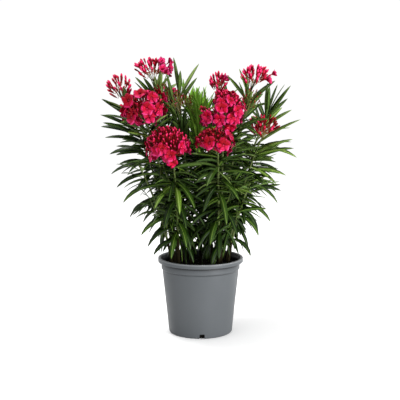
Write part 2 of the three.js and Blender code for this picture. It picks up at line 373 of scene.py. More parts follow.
def pot_profile():
    """The wall's section, up the outside, over the lip and down the inside: rows of radius and height."""
    wall = wall_radius(COLLAR_BASE)
    collar = wall + COLLAR_STEP
    foot = wall_radius(FOOT_ROUND) - FOOT_ROUND
    above_foot = 2 * FOOT_ROUND
    under_lip = LIP_FOOT + 3 * MM
    return np.concatenate([
        straight((HUB, 0), (foot, 0), 3),
        arc((foot, FOOT_ROUND), FOOT_ROUND, -90, 0, 7),
        straight((wall_radius(above_foot), above_foot), (wall, COLLAR_BASE), 12),
        arc((wall + 0.2 * MM, COLLAR_BASE + STEP_ROUND), STEP_ROUND, -150, -40, 4),
        arc((collar - STEP_ROUND, COLLAR_BASE + 3.4 * MM), STEP_ROUND, -60, 0, 4),
        straight((collar, COLLAR_BASE + 6 * MM), (collar, under_lip), 4),
        arc((collar + LIP_HOLLOW, under_lip), LIP_HOLLOW, 180, 100, 4),
        arc((RIM - LIP_ROUND, LIP_FOOT + LIP_ROUND), LIP_ROUND, -100, 0, 5),
        arc((RIM - RIM_ROLL, POT_HEIGHT - RIM_ROLL), RIM_ROLL, 0, 90, 7),
        arc((MOUTH + RIM_ROLL, POT_HEIGHT - RIM_ROLL), RIM_ROLL, 90, 180, 7),
        straight((MOUTH - 0.6 * MM, POT_HEIGHT - 6 * MM), (collar - WALL, LIP_FOOT), 3),
        straight((collar - WALL, LIP_FOOT), (collar - WALL, COLLAR_BASE + 3 * MM), 3),
        straight((wall - WALL, COLLAR_BASE), (wall_radius(BASE) - WALL, BASE), 12),
        straight((wall_radius(BASE) - WALL, BASE), (HUB, BASE), 3),
    ])


# How dark the painted shade is, from 0 to 1, at heights up the outside: a line under the collar and one under
# the lip.
PAINTED_SHADE_LINES = [
    (0, 0), (COLLAR_BASE - 4 * MM, 0), (COLLAR_BASE, 0.62), (COLLAR_BASE + 3 * MM, 0),
    (LIP_FOOT - 16 * MM, 0), (LIP_FOOT - 10 * MM, 0.16), (LIP_FOOT - 7 * MM, 0.4), (LIP_FOOT - 4 * MM, 0.95),
    (LIP_FOOT - 1 * MM, 0.95), (LIP_FOOT + 0.5 * MM, 0.4), (LIP_FOOT + 2 * MM, 0),
]
# Heights over which the painted highlight on the lip's top comes in.
HIGHLIGHT_FROM, HIGHLIGHT_WHOLE = POT_HEIGHT - 5 * MM, POT_HEIGHT - 1.5 * MM


def grey_plastic(name, dark, light, highlight_colour=None):
    """Moulded grey plastic: faint flow streaks down the wall and fine grain, between two greys. Given a third
    colour, painted shade darkens the corners under the collar and the lip, and a painted highlight in that
    colour makes the lip's top paler."""
    finish = Finish(name, dark, 0.42, specular_ior_level=0.1)
    streaks = finish.noise(9.0, 4.0, (1, 1, 0.12))
    grain = finish.noise(900.0, 2.0)
    cloud = finish.noise(14.0, 3.0)
    shade = streaks * 0.5 + cloud * 0.35 + grain * 0.15
    colour = finish.blend(shade, dark, light)
    if highlight_colour:
        height = finish.height()
        stops = [(level / POT_HEIGHT, (share,) * 3) for level, share in PAINTED_SHADE_LINES]
        # Painted shade: dark lines under the collar and under the lip, where their overhangs shade the wall.
        painted_shade_share = finish.ramp(height * (1 / POT_HEIGHT), stops)
        colour = finish.mix(painted_shade_share, colour, screen(30, 31, 32))
        # Painted highlight: the lip's top is made paler in the third colour, as if lit from above.
        painted_highlight = finish.fit(height, HIGHLIGHT_FROM, HIGHLIGHT_WHOLE)
        colour = finish.mix(painted_highlight * (cloud * 0.6 + 0.6), colour, highlight_colour)
    sheen = finish.fit(cloud, 0.3, 0.7, 0.34, 0.5)
    relief = grain * 0.35 + streaks * 0.65
    return finish.feed(base_color=colour, roughness=sheen, normal=finish.bump(relief, 0.12 * MM))


profile = pot_profile()
rings = around_axis(profile[:, :1], full_circle(POT_COLUMNS), profile[:, 1:])[None]
# The third colour is the painted highlight on the lip's top.
outside = grey_plastic("grey_plastic", screen(66, 69, 71), screen(79, 82, 85), screen(112, 114, 116))
# Painted shade: the inside is the same grey plastic, coloured near black for the shade within the pot.
inside = grey_plastic("grey_plastic_inside_painted_shade", screen(14, 15, 16), screen(24, 25, 26))
past_lip = np.arange(len(profile) - 1) > len(profile) // 2
inner = np.repeat(past_lip & (profile[:-1, 0] < MOUTH), POT_COLUMNS)
faces = np.concatenate([inner, np.zeros(POT_COLUMNS, bool), np.ones(POT_COLUMNS, bool)])
pot = piece("nursery_pot", *skins(rings, 0 * UP[None], BASE * UP[None]), [outside, inside], "pot", faces)

# %% Drain slots and holes
SLOT_WIDTH = 16.6 * MM
SLOT_HEIGHT = 15.5 * MM
SLOT_DEPTH = 32 * MM
SLOT_TURN = 0.048
SLOT_SHOULDER = 2.5 * MM
HOLE_RADIUS = 5 * MM
HOLE_RING = 58 * MM
HOLE_SIDES = 20
ROD_LOW, ROD_HIGH = -4 * MM, 8 * MM
SHARP_FROM = math.radians(35)


def cut_away(made, cutter):
    """Subtracts a mesh from a piece for good, and clears the mesh away."""
    tool = put_in_scene("tool", cutter)
    modifier = made.modifiers.new("cut", "BOOLEAN")
    modifier.operation = "DIFFERENCE"
    modifier.solver = "EXACT"
    modifier.object = tool
    graph = bpy.context.evaluated_depsgraph_get()
    result = bpy.data.meshes.new_from_object(made.evaluated_get(graph))
    made.modifiers.clear()
    made.data = result
    bpy.data.objects.remove(tool)
    bpy.data.meshes.remove(cutter)


def slot_cutters():
    """Four boxes through the wall's foot, with round shoulders, a quarter turn apart."""
    half = SLOT_WIDTH / 2
    inset = half - SLOT_SHOULDER
    arch = np.concatenate([
        [(-half, -SLOT_HEIGHT), (half, -SLOT_HEIGHT)],
        arc((inset, SLOT_HEIGHT - SLOT_SHOULDER), SLOT_SHOULDER, 0, 90, 4),
        arc((-inset, SLOT_HEIGHT - SLOT_SHOULDER), SLOT_SHOULDER, 90, 180, 4),
    ])
    beyond = np.array([0.5, -0.5])[:, None] * SLOT_DEPTH - FOOT
    quarter = SLOT_TURN + np.arange(4)[:, None, None] * math.pi / 2
    rings = np.stack(np.broadcast_arrays(*swung(arch[:, 0], beyond, quarter), arch[:, 1]), -1)
    return skins(rings, rings[:, 0].mean(1), rings[:, 1].mean(1))


def hole_cutters():
    """Four upright rods through the base plate."""
    angle = (np.arange(4) + 0.5) * math.pi / 2
    lines = around_axis(HOLE_RING, angle[:, None], np.array([ROD_LOW, ROD_HIGH]))
    return tubes(lines, np.full((4, 2), HOLE_RADIUS), HOLE_SIDES)


def mesh_of(points, quads, triangles):
    """A plain mesh for cutting with."""
    mesh = bpy.data.meshes.new("cutter")
    mesh.from_pydata(points.tolist(), [], quads.tolist() + triangles.tolist())
    return mesh


cut_away(pot, mesh_of(*slot_cutters()))
cut_away(pot, mesh_of(*hole_cutters()))
pot.data.polygons.foreach_set("use_smooth", np.full(len(pot.data.polygons), True))
pot.data.set_sharp_from_angle(angle=SHARP_FROM)
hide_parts("pot")
print("pot faces after cutting:", len(pot.data.polygons))

# %% [markdown]
# ## Soil
#
# The soil is dark, moist and crumbly, and lies a little below the rim. The imported solid stays as its
# body, seen through the drain slots, and is coloured near black there as painted shade. Over its flat top
# goes a disc whose height is a sum of waves, and crumbs are scattered on that: loose lumps read as soil
# where a bump texture alone looks like paint.

# %% Soil
SOIL_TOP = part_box("soil")[1].z
SOIL_EDGE = 124.5 * MM
SOIL_SAG = 4.5 * MM
SOIL_SKIRT = 6 * MM
SOIL_RINGS = 26
SOIL_COLUMNS = 96
SOIL_WAVES = [(1.1, 95, 40, 0), (0.9, -60, 150, 1), (0.6, 260, 210, 0)]


def soil_height(x, y):
    """Rolling ground, lower towards the pot's wall. It is the sum of three waves of different length and
    heading, each h * sin(a x + b y + c), less a sag that grows with the sixth power of the radius."""
    waves = sum(high * np.sin(a * x + b * y + c) for high, a, b, c in SOIL_WAVES)
    return SOIL_TOP + (1.9 + waves * 0.6) * MM - SOIL_SAG * (np.hypot(x, y) / SOIL_EDGE) ** 6


def dark_soil(name, dark, light):
    """Nearly black peat, with lighter fibres and a rough broken surface."""
    finish = Finish(name, dark, 0.95, specular_ior_level=0.05)
    clods = finish.noise(160.0, 5.0)
    fibre = finish.noise(520.0, 3.0, (1, 0.25, 1))
    colour = finish.blend(clods * 0.6 + fibre * 0.4, dark, light)
    return finish.feed(base_color=colour, normal=finish.bump(clods, 1.6 * MM))


def soil_surface():
    """A disc of rings under soil_height, closed by an upright skirt and a flat underside."""
    radius = np.linspace(0.03, 1, SOIL_RINGS)[::-1, None] * SOIL_EDGE
    disc = around_axis(radius, full_circle(SOIL_COLUMNS), 0)
    disc[..., 2] = soil_height(disc[..., 0], disc[..., 1])
    under = SOIL_TOP - SOIL_SKIRT
    skirt = disc[:1] * LEVEL + under * UP
    return skins(np.concatenate([skirt, disc])[None], under * UP[None], soil_height(0, 0) * UP[None])


soil_finish = dark_soil("dark_soil", screen(4, 4, 3), screen(24, 19, 12))
# Painted shade: the imported soil body, seen only through the drain slots, is coloured near black for the shade
# there.
slot_shade_soil = dark_soil("slot_shade_soil", screen(1, 1, 1), screen(7, 6, 4))
piece("soil_surface", *soil_surface(), [soil_finish], "soil")
frame["nodes"]["soil"].data.materials.clear()
frame["nodes"]["soil"].data.materials.append(slot_shade_soil.material)

# %% Soil crumbs
CRUMB_COUNT = 900
CRUMB_CORNERS = 5
CRUMB_LEAST = 0.8 * MM
CRUMB_EDGE = SOIL_EDGE - 4 * MM


def crumbs():
    """Uneven lumps sunk a little into the ground: a ring of five corners between two poles, each corner
    pushed in or out at random."""
    place = np.sqrt(chance.random(CRUMB_COUNT)) * CRUMB_EDGE
    turn = chance.random(CRUMB_COUNT) * 2 * math.pi
    centre = around_axis(place, turn, 0)
    size = chance.gamma(3.0, 0.75, CRUMB_COUNT) * MM + CRUMB_LEAST
    centre[:, 2] = soil_height(centre[:, 0], centre[:, 1]) + size * 0.25
    corners = (CRUMB_COUNT, CRUMB_CORNERS)
    corner = turn[:, None] + full_circle(CRUMB_CORNERS)
    push = size[:, None] * chance.uniform(0.7, 1.25, corners)
    ring = around_axis(push, corner, chance.uniform(-0.3, 0.3, corners) * push)
    pole = size[:, None] * 0.75 * UP
    return skins(centre[:, None, None] + ring[:, None], centre - pole, centre + pole)


piece("soil_crumbs", *crumbs(), [soil_finish], "soil", smooth=False)

# %% [markdown]
# ## Stems
#
# Each stem is one tapered limb on a bent line: it leaves the soil steeply and leans out more as it rises.
# The line is a quadratic curve through the foot, a bend and the tip. Its height grows evenly along it, so
# any height gives a place on the stem at once, which the leaves use later. Low down the bark is
# grey-brown, with a swollen foot and the rings where old leaves fell. Above, the shoot is green.

# %% Stem lines
SHOOTS = {
    "front_left": ((-70, -60), (-84, -118, 572)),
    "front_right": ((60, -68), (54, -122, 606)),
    "left_outer": ((-84, -8), (-246, -10, 762)),
    "right_outer": ((84, -20), (194, -36, 640)),
    "right_leafy": ((74, 28), (216, 46, 704)),
    "left_front": ((-72, -42), (-168, -98, 694)),
    "right_mid": ((66, -50), (72, -62, 686)),
    "left_tall": ((-56, 22), (-152, 26, 822)),
    "right_tall": ((58, 2), (162, 0, 800)),
    "left_inner": ((-32, -14), (-70, 4, 784)),
    "right_inner": ((30, 8), (58, 16, 784)),
    "left_low": ((-91, -56), (-196, -66, 560)),
    "right_low": ((88, -56), (156, -92, 506)),
    "left_rear": ((-76, 42), (-200, 112, 668)),
    "right_rear": ((66, 62), (196, 138, 634)),
    "rear_left": ((-40, 66), (-108, 152, 724)),
    "rear_right": ((34, 58), (84, 148, 706)),
    "rear_middle": ((2, 86), (4, 192, 566)),
    "middle": ((0, 34), (-10, 58, 706)),
}
STEM_FOOT = 4.6 * MM
STEM_END = 2.7 * MM
STEM_FLARE = 1.15
FLARE_FADE = 14 * MM
STEM_BOW = 0.22
STEM_GAP = 0.3 * MM
NAMES = list(SHOOTS)
feet = np.array([[*SHOOTS[name][0], SOIL_TOP / MM] for name in NAMES]) * MM + STEM_GAP * UP
tips = np.array([SHOOTS[name][1] for name in NAMES]) * MM


def numbers_of(names):
    """The numbers of the stems with those names."""
    return np.array([NAMES.index(name) for name in names])


def nodes_of(kind, names):
    """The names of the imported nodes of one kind, such as every stem."""
    return [f"{kind}_{name}" for name in names]


def stem_points(which, height):
    """The places and headings of stems at given heights. With u the share of the height from foot to tip,
    place = foot + lean * (2 * bow * u * (1 - u) + u * u), and past the tip it runs straight on."""
    foot, tip = feet[which], tips[which]
    rise = tip[..., 2] - foot[..., 2]
    share = (height - foot[..., 2]) / rise
    held = np.minimum(share, 1)
    lean = 2 * STEM_BOW * held * (1 - held) + held**2
    pace = 2 * STEM_BOW * (1 - 2 * held) + 2 * held
    lean = lean + np.maximum(share - 1, 0) * pace
    level = (tip - foot) * LEVEL
    place = foot * LEVEL + level * lean[..., None] + height[..., None] * UP
    return place, unit(level * pace[..., None] + rise[..., None] * UP)


print("stems:", len(NAMES), "tallest tip", tips[:, 2].max())

# %% Stem meshes
BARK_STEPS = 80
SHOOT_STEPS = 36
STEM_SIDES = 18
RING_STEP = 19 * MM
RING_BULGE, RING_WIDTH = 0.09, 0.1
BARK_RIDGE, SHOOT_RIDGE = 0.045, 0.02
SHOOT_OVERLAP = 1 * MM
GREEN_FROM, GREEN_WHOLE = 300 * MM, 500 * MM


def stem_radius(height, foot, tip):
    """Tapers evenly, swells at the soil by e^(-distance above it), and bulges at each old leaf ring by a
    bell curve."""
    share = np.clip((height - foot) / (tip - foot), 0, 1)
    flare = 1 + (STEM_FLARE - 1) * np.exp((foot - height) / FLARE_FADE)
    off_ring = ((height - foot) / RING_STEP) % 1 - 0.5
    knuckle = 1 + RING_BULGE * np.exp(-(off_ring / RING_WIDTH) ** 2)
    return (STEM_FOOT + (STEM_END - STEM_FOOT) * share) * flare * knuckle


def stem_skins(low, high, steps, ridge):
    """Stems between two heights each, with shallow ridges: radius * (1 + ridge * wave), where the wave is
    sin(3 angle + 14 height) + 0.6 sin(5 angle - 900 height), started differently on each stem."""
    which = np.arange(len(NAMES))[:, None] + np.zeros((1, steps), int)
    height = low[:, None] + (high - low)[:, None] * np.linspace(0, 1, steps) ** 1.15
    place, _ = stem_points(which, height)
    radius = stem_radius(height, feet[:, 2:], tips[:, 2:])[..., None]
    angle, height = full_circle(STEM_SIDES), height[..., None]
    wave = np.sin(3 * angle + which[..., None] * 1.7 + 14 * height) + 0.6 * np.sin(5 * angle - 900 * height)
    rings = place[:, :, None] + around_axis(radius * (1 + ridge * wave), angle, 0)
    return skins(rings, place[:, 0], place[:, -1])


def stem_bark():
    """Grey-brown bark with fine upright cracks and pores in its relief, greener higher up."""
    finish = Finish("stem_bark", screen(40, 34, 16), 0.8, specular_ior_level=0.05)
    cracks = finish.noise(240.0, 4.0, (1, 1, 0.16))
    pores = finish.noise(520.0, 2.0, (1, 1, 0.6))
    bark = finish.blend(cracks, screen(6, 5, 2), screen(32, 27, 10))
    youth = finish.fit(finish.height(), GREEN_FROM, GREEN_WHOLE)
    colour = finish.mix(youth * 0.75, bark, screen(50, 58, 22))
    relief = cracks * 0.7 + pores * 0.3
    return finish.feed(base_color=colour, normal=finish.bump(relief, 0.6 * MM))


bark_top = np.array([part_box(node)[1].z for node in nodes_of("stem", NAMES)])
barked = stem_skins(feet[:, 2], bark_top, BARK_STEPS, BARK_RIDGE)
stems = piece("stems", *barked, [stem_bark()], "bark")
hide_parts(*nodes_of("stem", NAMES))
green_stem = Finish("green_stem", screen(62, 74, 28), 0.5, specular_ior_level=0.2)
shoots = stem_skins(bark_top - SHOOT_OVERLAP, tips[:, 2], SHOOT_STEPS, SHOOT_RIDGE)
piece("green_shoots", *shoots, [green_stem], "bark")

# %% [markdown]
# ## Growing the leaves
#
# An oleander sets its leaves in whorls of three, each whorl turned sixty degrees from the last. Short side
# twigs repeat the stem's habit. So the crown is not scattered: a seeded rule walks up every stem, throws
# side twigs, and hangs a whorl at every step. The youngest leaves at a tip stand up, the leaves in the
# light at the top reach up and out, and lower down they arch over further and further.

# %% Whorls on the stems
WHORL_STEP = 26 * MM
WHORL_STEP_TIP = 14 * MM
BARE_UNDER_HEAD = 16 * MM
BARE_UNDER_BUDS = 38 * MM
BARE_UNDER_CREST = 78 * MM
YOUNG_REACH = 55 * MM
LOWEST_WHORL = 300 * MM
WHORL_CLEAR = 4 * MM
LEAF_START = {name: min(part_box("leaves_" + name)[0].z, LOWEST_WHORL) for name in NAMES}
CREST = {name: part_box("leaves_" + name)[1].z for name in NAMES}
SLOT_OF = {entry["node"]: entry["material_slot"] for entry in frame["record"]["subparts"]}
HEADS = [name for name in NAMES if "head_" + name in SLOT_OF]
FLOWERING, BUDDING = (
    [name for name in HEADS if SLOT_OF["head_" + name] == slot] for slot in ("flowers", "buds")
)
LONG_NECKED = BUDDING + ["left_tall", "right_tall"]


def whorl_heights(low, high):
    """Heights of the whorls, closer together towards the tip."""
    share = np.linspace(0, 1, int((high - low) / (0.5 * (WHORL_STEP + WHORL_STEP_TIP))))
    run = np.cumsum(WHORL_STEP + (WHORL_STEP_TIP - WHORL_STEP) * share)
    return low + (run - run[0]) / (run[-1] - run[0]) * (high - low)


def stem_whorls():
    """Whorls on the stems: place, youth, turn and stem of each. Youth is e^(-distance below the tip), and
    each whorl is turned sixty degrees from the one below."""
    rows = []
    for index, name in enumerate(NAMES):
        bare = BARE_UNDER_BUDS if name in LONG_NECKED else BARE_UNDER_HEAD
        high = tips[index, 2] - bare if name in HEADS else CREST[name] - BARE_UNDER_CREST
        height = whorl_heights(LEAF_START[name] + WHORL_CLEAR, high)
        stem = np.full(len(height), index)
        place, _ = stem_points(stem, height)
        turn = np.arange(len(height)) * math.pi / 3 + index
        rows.append((place, np.exp((height - high) / YOUNG_REACH), turn, stem))
    return [np.concatenate(column) for column in zip(*rows)]


# %% Side twigs and their whorls
TWIGS = {
    "middle": 10, "right_leafy": 2, "right_inner": 5, "left_inner": 4, "rear_middle": 6, "left_low": 2,
    "rear_left": 4, "rear_right": 4, "left_tall": 2, "right_tall": 2,
}
TWIG_STEPS = 7
TWIG_WHORLS = np.array([2, 3, 4, 5, 6])
TWIG_SHORTEST, TWIG_LONGEST = 60 * MM, 105 * MM
TWIG_FOOT, TWIG_END = 2.0 * MM, 1.1 * MM
TWIG_SIDES = 6


def grow_twigs():
    """Side twigs: each leaves its stem at about forty degrees and curves up as it lengthens. With t the
    share of its length, its heading is 0.72 stem + (0.72 - 0.22 t) side + 0.3 t up."""
    index = np.repeat(np.arange(len(NAMES)), [TWIGS.get(name, 1) for name in NAMES])
    low = np.array([LEAF_START[name] for name in NAMES])[index]
    share = chance.uniform(0.05, 0.82, len(index))
    share = np.where(index == NAMES.index("middle"), 0.45 + 0.6 * share, share)
    place, heading = stem_points(index, low + (tips[index, 2] - low) * share)
    outward = unit(tips[index] * LEVEL)
    turn = chance.uniform(-2.0, 2.0, len(index))[:, None]
    side = outward * np.cos(turn) + np.cross(UP, outward) * np.sin(turn)
    length = chance.uniform(TWIG_SHORTEST, TWIG_LONGEST, len(index))
    step = np.linspace(0, 1, TWIG_STEPS)[None, :, None]
    ahead = heading[:, None] * 0.72 + side[:, None] * (0.72 - 0.22 * step) + 0.3 * UP * step
    return place[:, None] + ahead * step * length[:, None, None], index


def twig_whorls(lines, index):
    """Whorls along the outer part of each twig, the last at its tip: place, youth, turn and stem."""
    stem = np.repeat(index, len(TWIG_WHORLS))
    youth = np.tile(np.exp((TWIG_WHORLS - TWIG_WHORLS[-1]) * 0.3), len(lines))
    turn = np.tile(np.arange(len(TWIG_WHORLS)) * math.pi / 3, len(lines)) + stem * 2.1
    return lines[:, TWIG_WHORLS].reshape(-1, 3), youth, turn, stem


twig_lines, twig_index = grow_twigs()
on_stems, on_twigs = stem_whorls(), twig_whorls(twig_lines, twig_index)
whorls = [np.concatenate(pair) for pair in zip(on_stems, on_twigs)]
twig_radii = np.linspace(TWIG_FOOT, TWIG_END, TWIG_STEPS) * np.ones((len(twig_lines), 1))
piece("side_twigs", *tubes(twig_lines, twig_radii, TWIG_SIDES), [green_stem], "bark")
print("whorls on stems:", len(on_stems[0]), "on twigs:", len(on_twigs[0]))

# %% [markdown]
# ## One leaf, many times
#
# The leaf is a long lance: narrow stalk, widest at the middle, fine point, folded a little along a pale
# midrib. Its line bends in one plane from its first heading towards the ground. Five points go round it:
# two edges, two beside the midrib and one below, so that it is a closed blade with a paler underside.

# %% Leaf shape
LEAF_STATIONS = np.array([0.03, 0.15, 0.3, 0.47, 0.64, 0.8, 0.93])
RIB_HALF = 0.55 * MM
RIB_MOST = 0.3
LEAF_THICK = 0.8 * MM
LEAF_FOLD = 0.17


def leaf_width(share):
    """Half width along a leaf, as a share of the most: t^0.7 * (1 - t)^0.75, scaled to reach one."""
    return 2.73 * share**0.7 * (1 - share) ** 0.75


def bent_line(base, first, down, length, bend, share):
    """Places and headings along lines that turn by bend from first towards down: the heading is
    first * cos(bend t) + down * sin(bend t), and the place is its integral."""
    turn = bend[:, None] * share
    heading = first[:, None] * np.cos(turn)[..., None] + down[:, None] * np.sin(turn)[..., None]
    reach = (length / bend)[:, None, None]
    ahead = np.sin(turn)[..., None] * first[:, None] + (1 - np.cos(turn))[..., None] * down[:, None]
    return base[:, None] + reach * ahead, heading


def leaf_rings(base, first, length, width, bend, roll):
    """Rings of five points for N leaves, with both poles. Across the leaf they are the right edge, the two
    sides of the midrib, the left edge and the underside, and roll turns them about the leaf's line."""
    down = unit(first * first[:, 2:] - UP)
    share = np.concatenate([[0], LEAF_STATIONS, [1]])
    line, heading = bent_line(base, first, down, length, bend, share)
    across = np.cross(first, down)[:, None] + 0 * heading
    face, side = swung(np.cross(across, heading), across, roll[:, None, None])
    half = (width / 2)[:, None] * leaf_width(share[None, 1:-1])
    rib = np.minimum(RIB_HALF, half * RIB_MOST)
    lift = half * LEAF_FOLD
    x = np.stack([half, rib, -rib, -half, 0 * half], -1)[..., None]
    y = np.stack([lift, 0 * half, 0 * half, lift, 0 * half - LEAF_THICK], -1)[..., None]
    rings = line[:, 1:-1, None] + x * side[:, 1:-1, None] - y * face[:, 1:-1, None]
    return rings, line[:, 0], line[:, -1]


print("leaf stations:", LEAF_STATIONS)

# %% Leaves from the whorls
LEAF_LONG = 134 * MM
LEAF_WIDE = 16 * MM
USUAL_ROLL, LEAST_ROLL = 0.55, 0.42
ARCH_LOW, ARCH_HIGH = 300 * MM, 780 * MM
FULL_SIZE_FROM, FULL_SIZE_AT = 270 * MM, 470 * MM
FEATHERY_FROM = 560 * MM
FEATHERY_LIFT, STEEPEST = math.radians(25), math.radians(84)
POINT_LOW, POINT_HIGH = math.radians(-56), math.radians(36)
BEND_LOW, BEND_HIGH = math.radians(70), math.radians(16)
STAND_LEAFY, STAND_HEAD = math.radians(40), math.radians(10)


def blend(low, high, share):
    """From low to high as the share goes from 0 to 1, and held at both."""
    return low + (high - low) * np.clip(share, 0, 1)


def in_light(height):
    """How well lit a height in the crown is: 0 at its foot and 1 near its top."""
    return (height - ARCH_LOW) / (ARCH_HIGH - ARCH_LOW)


place, youth, turn, owner = whorls
count = len(place)
small = np.repeat(np.arange(count) >= len(on_stems[0]), 3)
turns = (turn[:, None] + np.arange(3) * 2 * math.pi / 3 + chance.normal(0, 0.2, (count, 3))).ravel()
place, youth, owner = np.repeat(place, 3, axis=0), np.repeat(youth, 3), np.repeat(owner, 3)
count, height = len(owner), place[:, 2]
leafy = small | ~np.isin(owner, numbers_of(HEADS))
feathery = (owner == NAMES.index("middle")) & (height > FEATHERY_FROM)
points_at = blend(POINT_LOW, POINT_HIGH, in_light(height)) + youth * np.where(leafy, STAND_LEAFY, STAND_HEAD)
points_at = points_at + chance.normal(0, 0.2, count)
bend = blend(BEND_LOW, BEND_HIGH, in_light(height)) * (1 - 0.6 * youth) * chance.uniform(0.75, 1.2, count)
rise = np.minimum(points_at + bend / 2 + feathery * FEATHERY_LIFT, STEEPEST)
first = around_axis(np.cos(rise), turns, np.sin(rise))
growth = blend(0.8, 1.0, (height - FULL_SIZE_FROM) / (FULL_SIZE_AT - FULL_SIZE_FROM))
growth = growth * (1 - youth * np.where(leafy, 0.12, 0.36))
length = LEAF_LONG * growth * chance.uniform(0.82, 1.14, count)
length = length * np.where(small, 0.85, 1.0) * np.where(feathery, 0.88, 1.0)
slimness = np.where(feathery, 0.6, np.where(small, 0.85, 1.0))
width = LEAF_WIDE * chance.uniform(0.8, 1.1, count) * slimness
roll = np.maximum(chance.normal(USUAL_ROLL, 0.2, count), LEAST_ROLL)
roll = roll * np.where(chance.random(count) < 0.5, -1, 1)
rings, base, point = leaf_rings(place, first, length, width, bend, roll)
print("leaves in whorls:", count)

# %% [markdown]
# ## The longest leaves
#
# A rule gives the crown its fullness, but a few long leaves at its edge draw its outline, and those are set
# one by one. Each is told by the height where it leaves its stem, where its point is, how far it bends and
# how far it is rolled. The first heading is the straight line to the point, tilted up by half the bend.

# %% Long leaves
LONG_LEAVES = {
    "left_outer": [
        (700, (-318, -20, 768), 12, 50), (662, (-320, -40, 718), 22, 45), (650, (-322, -6, 678), 30, 55),
        (628, (-307, -30, 644), 34, 40), (600, (-296, 0, 588), 44, 60), (560, (-290, -24, 525), 50, 35),
        (490, (-252, -20, 431), 58, 50), (450, (-230, -30, 384), 60, 30), (640, (-310, -60, 694), 24, 60),
        (525, (-272, -30, 482), 54, 45), (592, (-270, -56, 590), 36, 45), (560, (-262, -50, 560), 44, 40),
        (716, (-268, -30, 800), 8, 40), (724, (-244, -36, 806), 8, -30),
    ],
    "left_tall": [
        (745, (-212, 10, 838), 10, 60), (760, (-186, 20, 836), 8, 50), (752, (-166, -18, 850), 8, 40),
        (764, (-128, -16, 858), 8, -30), (748, (-108, -22, 846), 10, -40),
    ],
    "front_left": [
        (320, (-150, -88, 272), 66, 35), (362, (-168, -100, 300), 70, 30), (400, (-190, -90, 336), 60, 45),
        (505, (-142, -190, 436), 50, 12), (512, (-18, -176, 436), 50, -10), (380, (-44, -150, 308), 60, -10),
        (455, (-112, -190, 372), 60, 8), (350, (-92, -150, 272), 60, 12), (450, (-44, -186, 372), 60, -5),
        (500, (-64, -192, 420), 66, 5),
    ],
    "front_right": [
        (505, (8, -176, 424), 50, 10), (478, (80, -188, 386), 60, -5), (392, (30, -160, 318), 56, 8),
        (540, (-12, -170, 520), 40, 20), (436, (112, -180, 352), 60, -10), (350, (58, -150, 272), 60, -8),
        (560, (18, -178, 504), 36, 10), (520, (118, -172, 462), 44, -10),
    ],
    "left_inner": [
        (778, (-86, -26, 900), 6, 10), (772, (-64, -30, 858), 8, -20), (765, (-4, -12, 880), 12, 30),
        (748, (-10, -16, 836), 16, 30), (650, (-130, -40, 716), 20, 25), (636, (-34, -70, 702), 16, -20),
        (620, (-112, -60, 664), 30, 30), (600, (-66, -74, 672), 10, 15), (672, (-118, -20, 752), 14, 20),
        (584, (-128, -60, 640), 34, 25), (640, (-90, -50, 700), 12, -25), (612, (-50, -30, 744), 10, 20),
        (604, (-78, -16, 738), 8, -15), (580, (-40, -44, 708), 12, 25), (596, (-62, -60, 724), 10, -30),
    ],
    "right_tall": [
        (772, (122, -20, 864), 8, 62), (758, (84, -24, 842), 12, 58), (748, (240, -8, 826), 8, -50),
        (734, (206, -14, 806), 8, -45), (752, (146, -26, 850), 8, 35), (756, (186, -22, 844), 8, -40),
    ],
    "right_leafy": [
        (680, (293, 26, 810), 10, -60), (702, (250, 22, 814), 8, -62), (700, (216, 20, 819), 6, 40),
        (688, (284, 30, 768), 10, -50), (664, (298, 30, 731), 14, -45), (610, (326, 20, 700), 20, -40),
        (600, (316, 30, 574), 52, -45), (684, (258, 24, 746), 12, -55), (560, (300, 10, 636), 34, -45),
    ],
    "right_outer": [
        (540, (275, -40, 523), 44, -40), (500, (250, -30, 430), 60, -35), (470, (262, -10, 470), 50, -50),
        (570, (300, -30, 610), 36, -45), (592, (262, -60, 634), 30, -45),
    ],
    "right_low": [
        (400, (184, -100, 336), 66, -35), (322, (160, -84, 268), 70, -30), (440, (222, -90, 380), 60, -40),
    ],
    "left_rear": [
        (600, (-250, 60, 646), 30, 40), (612, (-146, 60, 700), 16, -20), (586, (-118, 50, 640), 30, -40),
        (626, (-212, 50, 738), 10, 20), (570, (-168, 30, 668), 16, 30), (556, (-140, 20, 622), 30, -30),
    ],
    "middle": [
        (690, (-36, 36, 786), 6, 10), (698, (-14, 40, 800), 4, -15), (688, (8, 34, 794), 6, 20),
        (676, (26, 30, 776), 10, -20), (690, (-52, 44, 772), 10, 25), (664, (40, 26, 744), 14, 30),
        (700, (0, 60, 790), 4, 40), (660, (-40, 10, 730), 10, 35), (650, (16, 8, 728), 10, -35),
        (640, (-52, -10, 726), 14, 20), (620, (-30, -24, 712), 10, -20), (630, (-8, -30, 722), 8, 15),
        (610, (12, -30, 704), 12, -20), (600, (-46, -40, 684), 16, 25), (590, (-20, -50, 680), 12, -15),
        (600, (8, -50, 676), 14, 20), (570, (-36, -60, 652), 16, -20), (560, (-8, -66, 644), 14, 15),
    ],
}
# Painted light: the long leaves' tint youth grows towards the right over this width.
LIGHTER_RIGHT_WIDTH = 160 * MM
YOUNG_FROM, YOUNG_FADE = 450 * MM, 150 * MM
FRONT_LIGHTER_FROM = 370 * MM


def long_leaves():
    """The base, first heading, length, bend and roll of each long leaf, and its stem. An arc that bends by
    b is longer than its chord by (b / 2) / sin(b / 2)."""
    stem = numbers_of([name for name, leaves in LONG_LEAVES.items() for _ in leaves])
    height, end, arch, twist = map(np.array, zip(*(row for leaves in LONG_LEAVES.values() for row in leaves)))
    start, _ = stem_points(stem, height * MM)
    chord = end * MM - start
    arch, twist = np.radians(arch), np.radians(twist)
    ahead = unit(chord)
    above = unit(UP - ahead * ahead[:, 2:])
    begin = ahead * np.cos(arch / 2)[:, None] + above * np.sin(arch / 2)[:, None]
    return start, begin, np.linalg.norm(chord, axis=1) * (arch / 2) / np.sin(arch / 2), arch, twist, stem


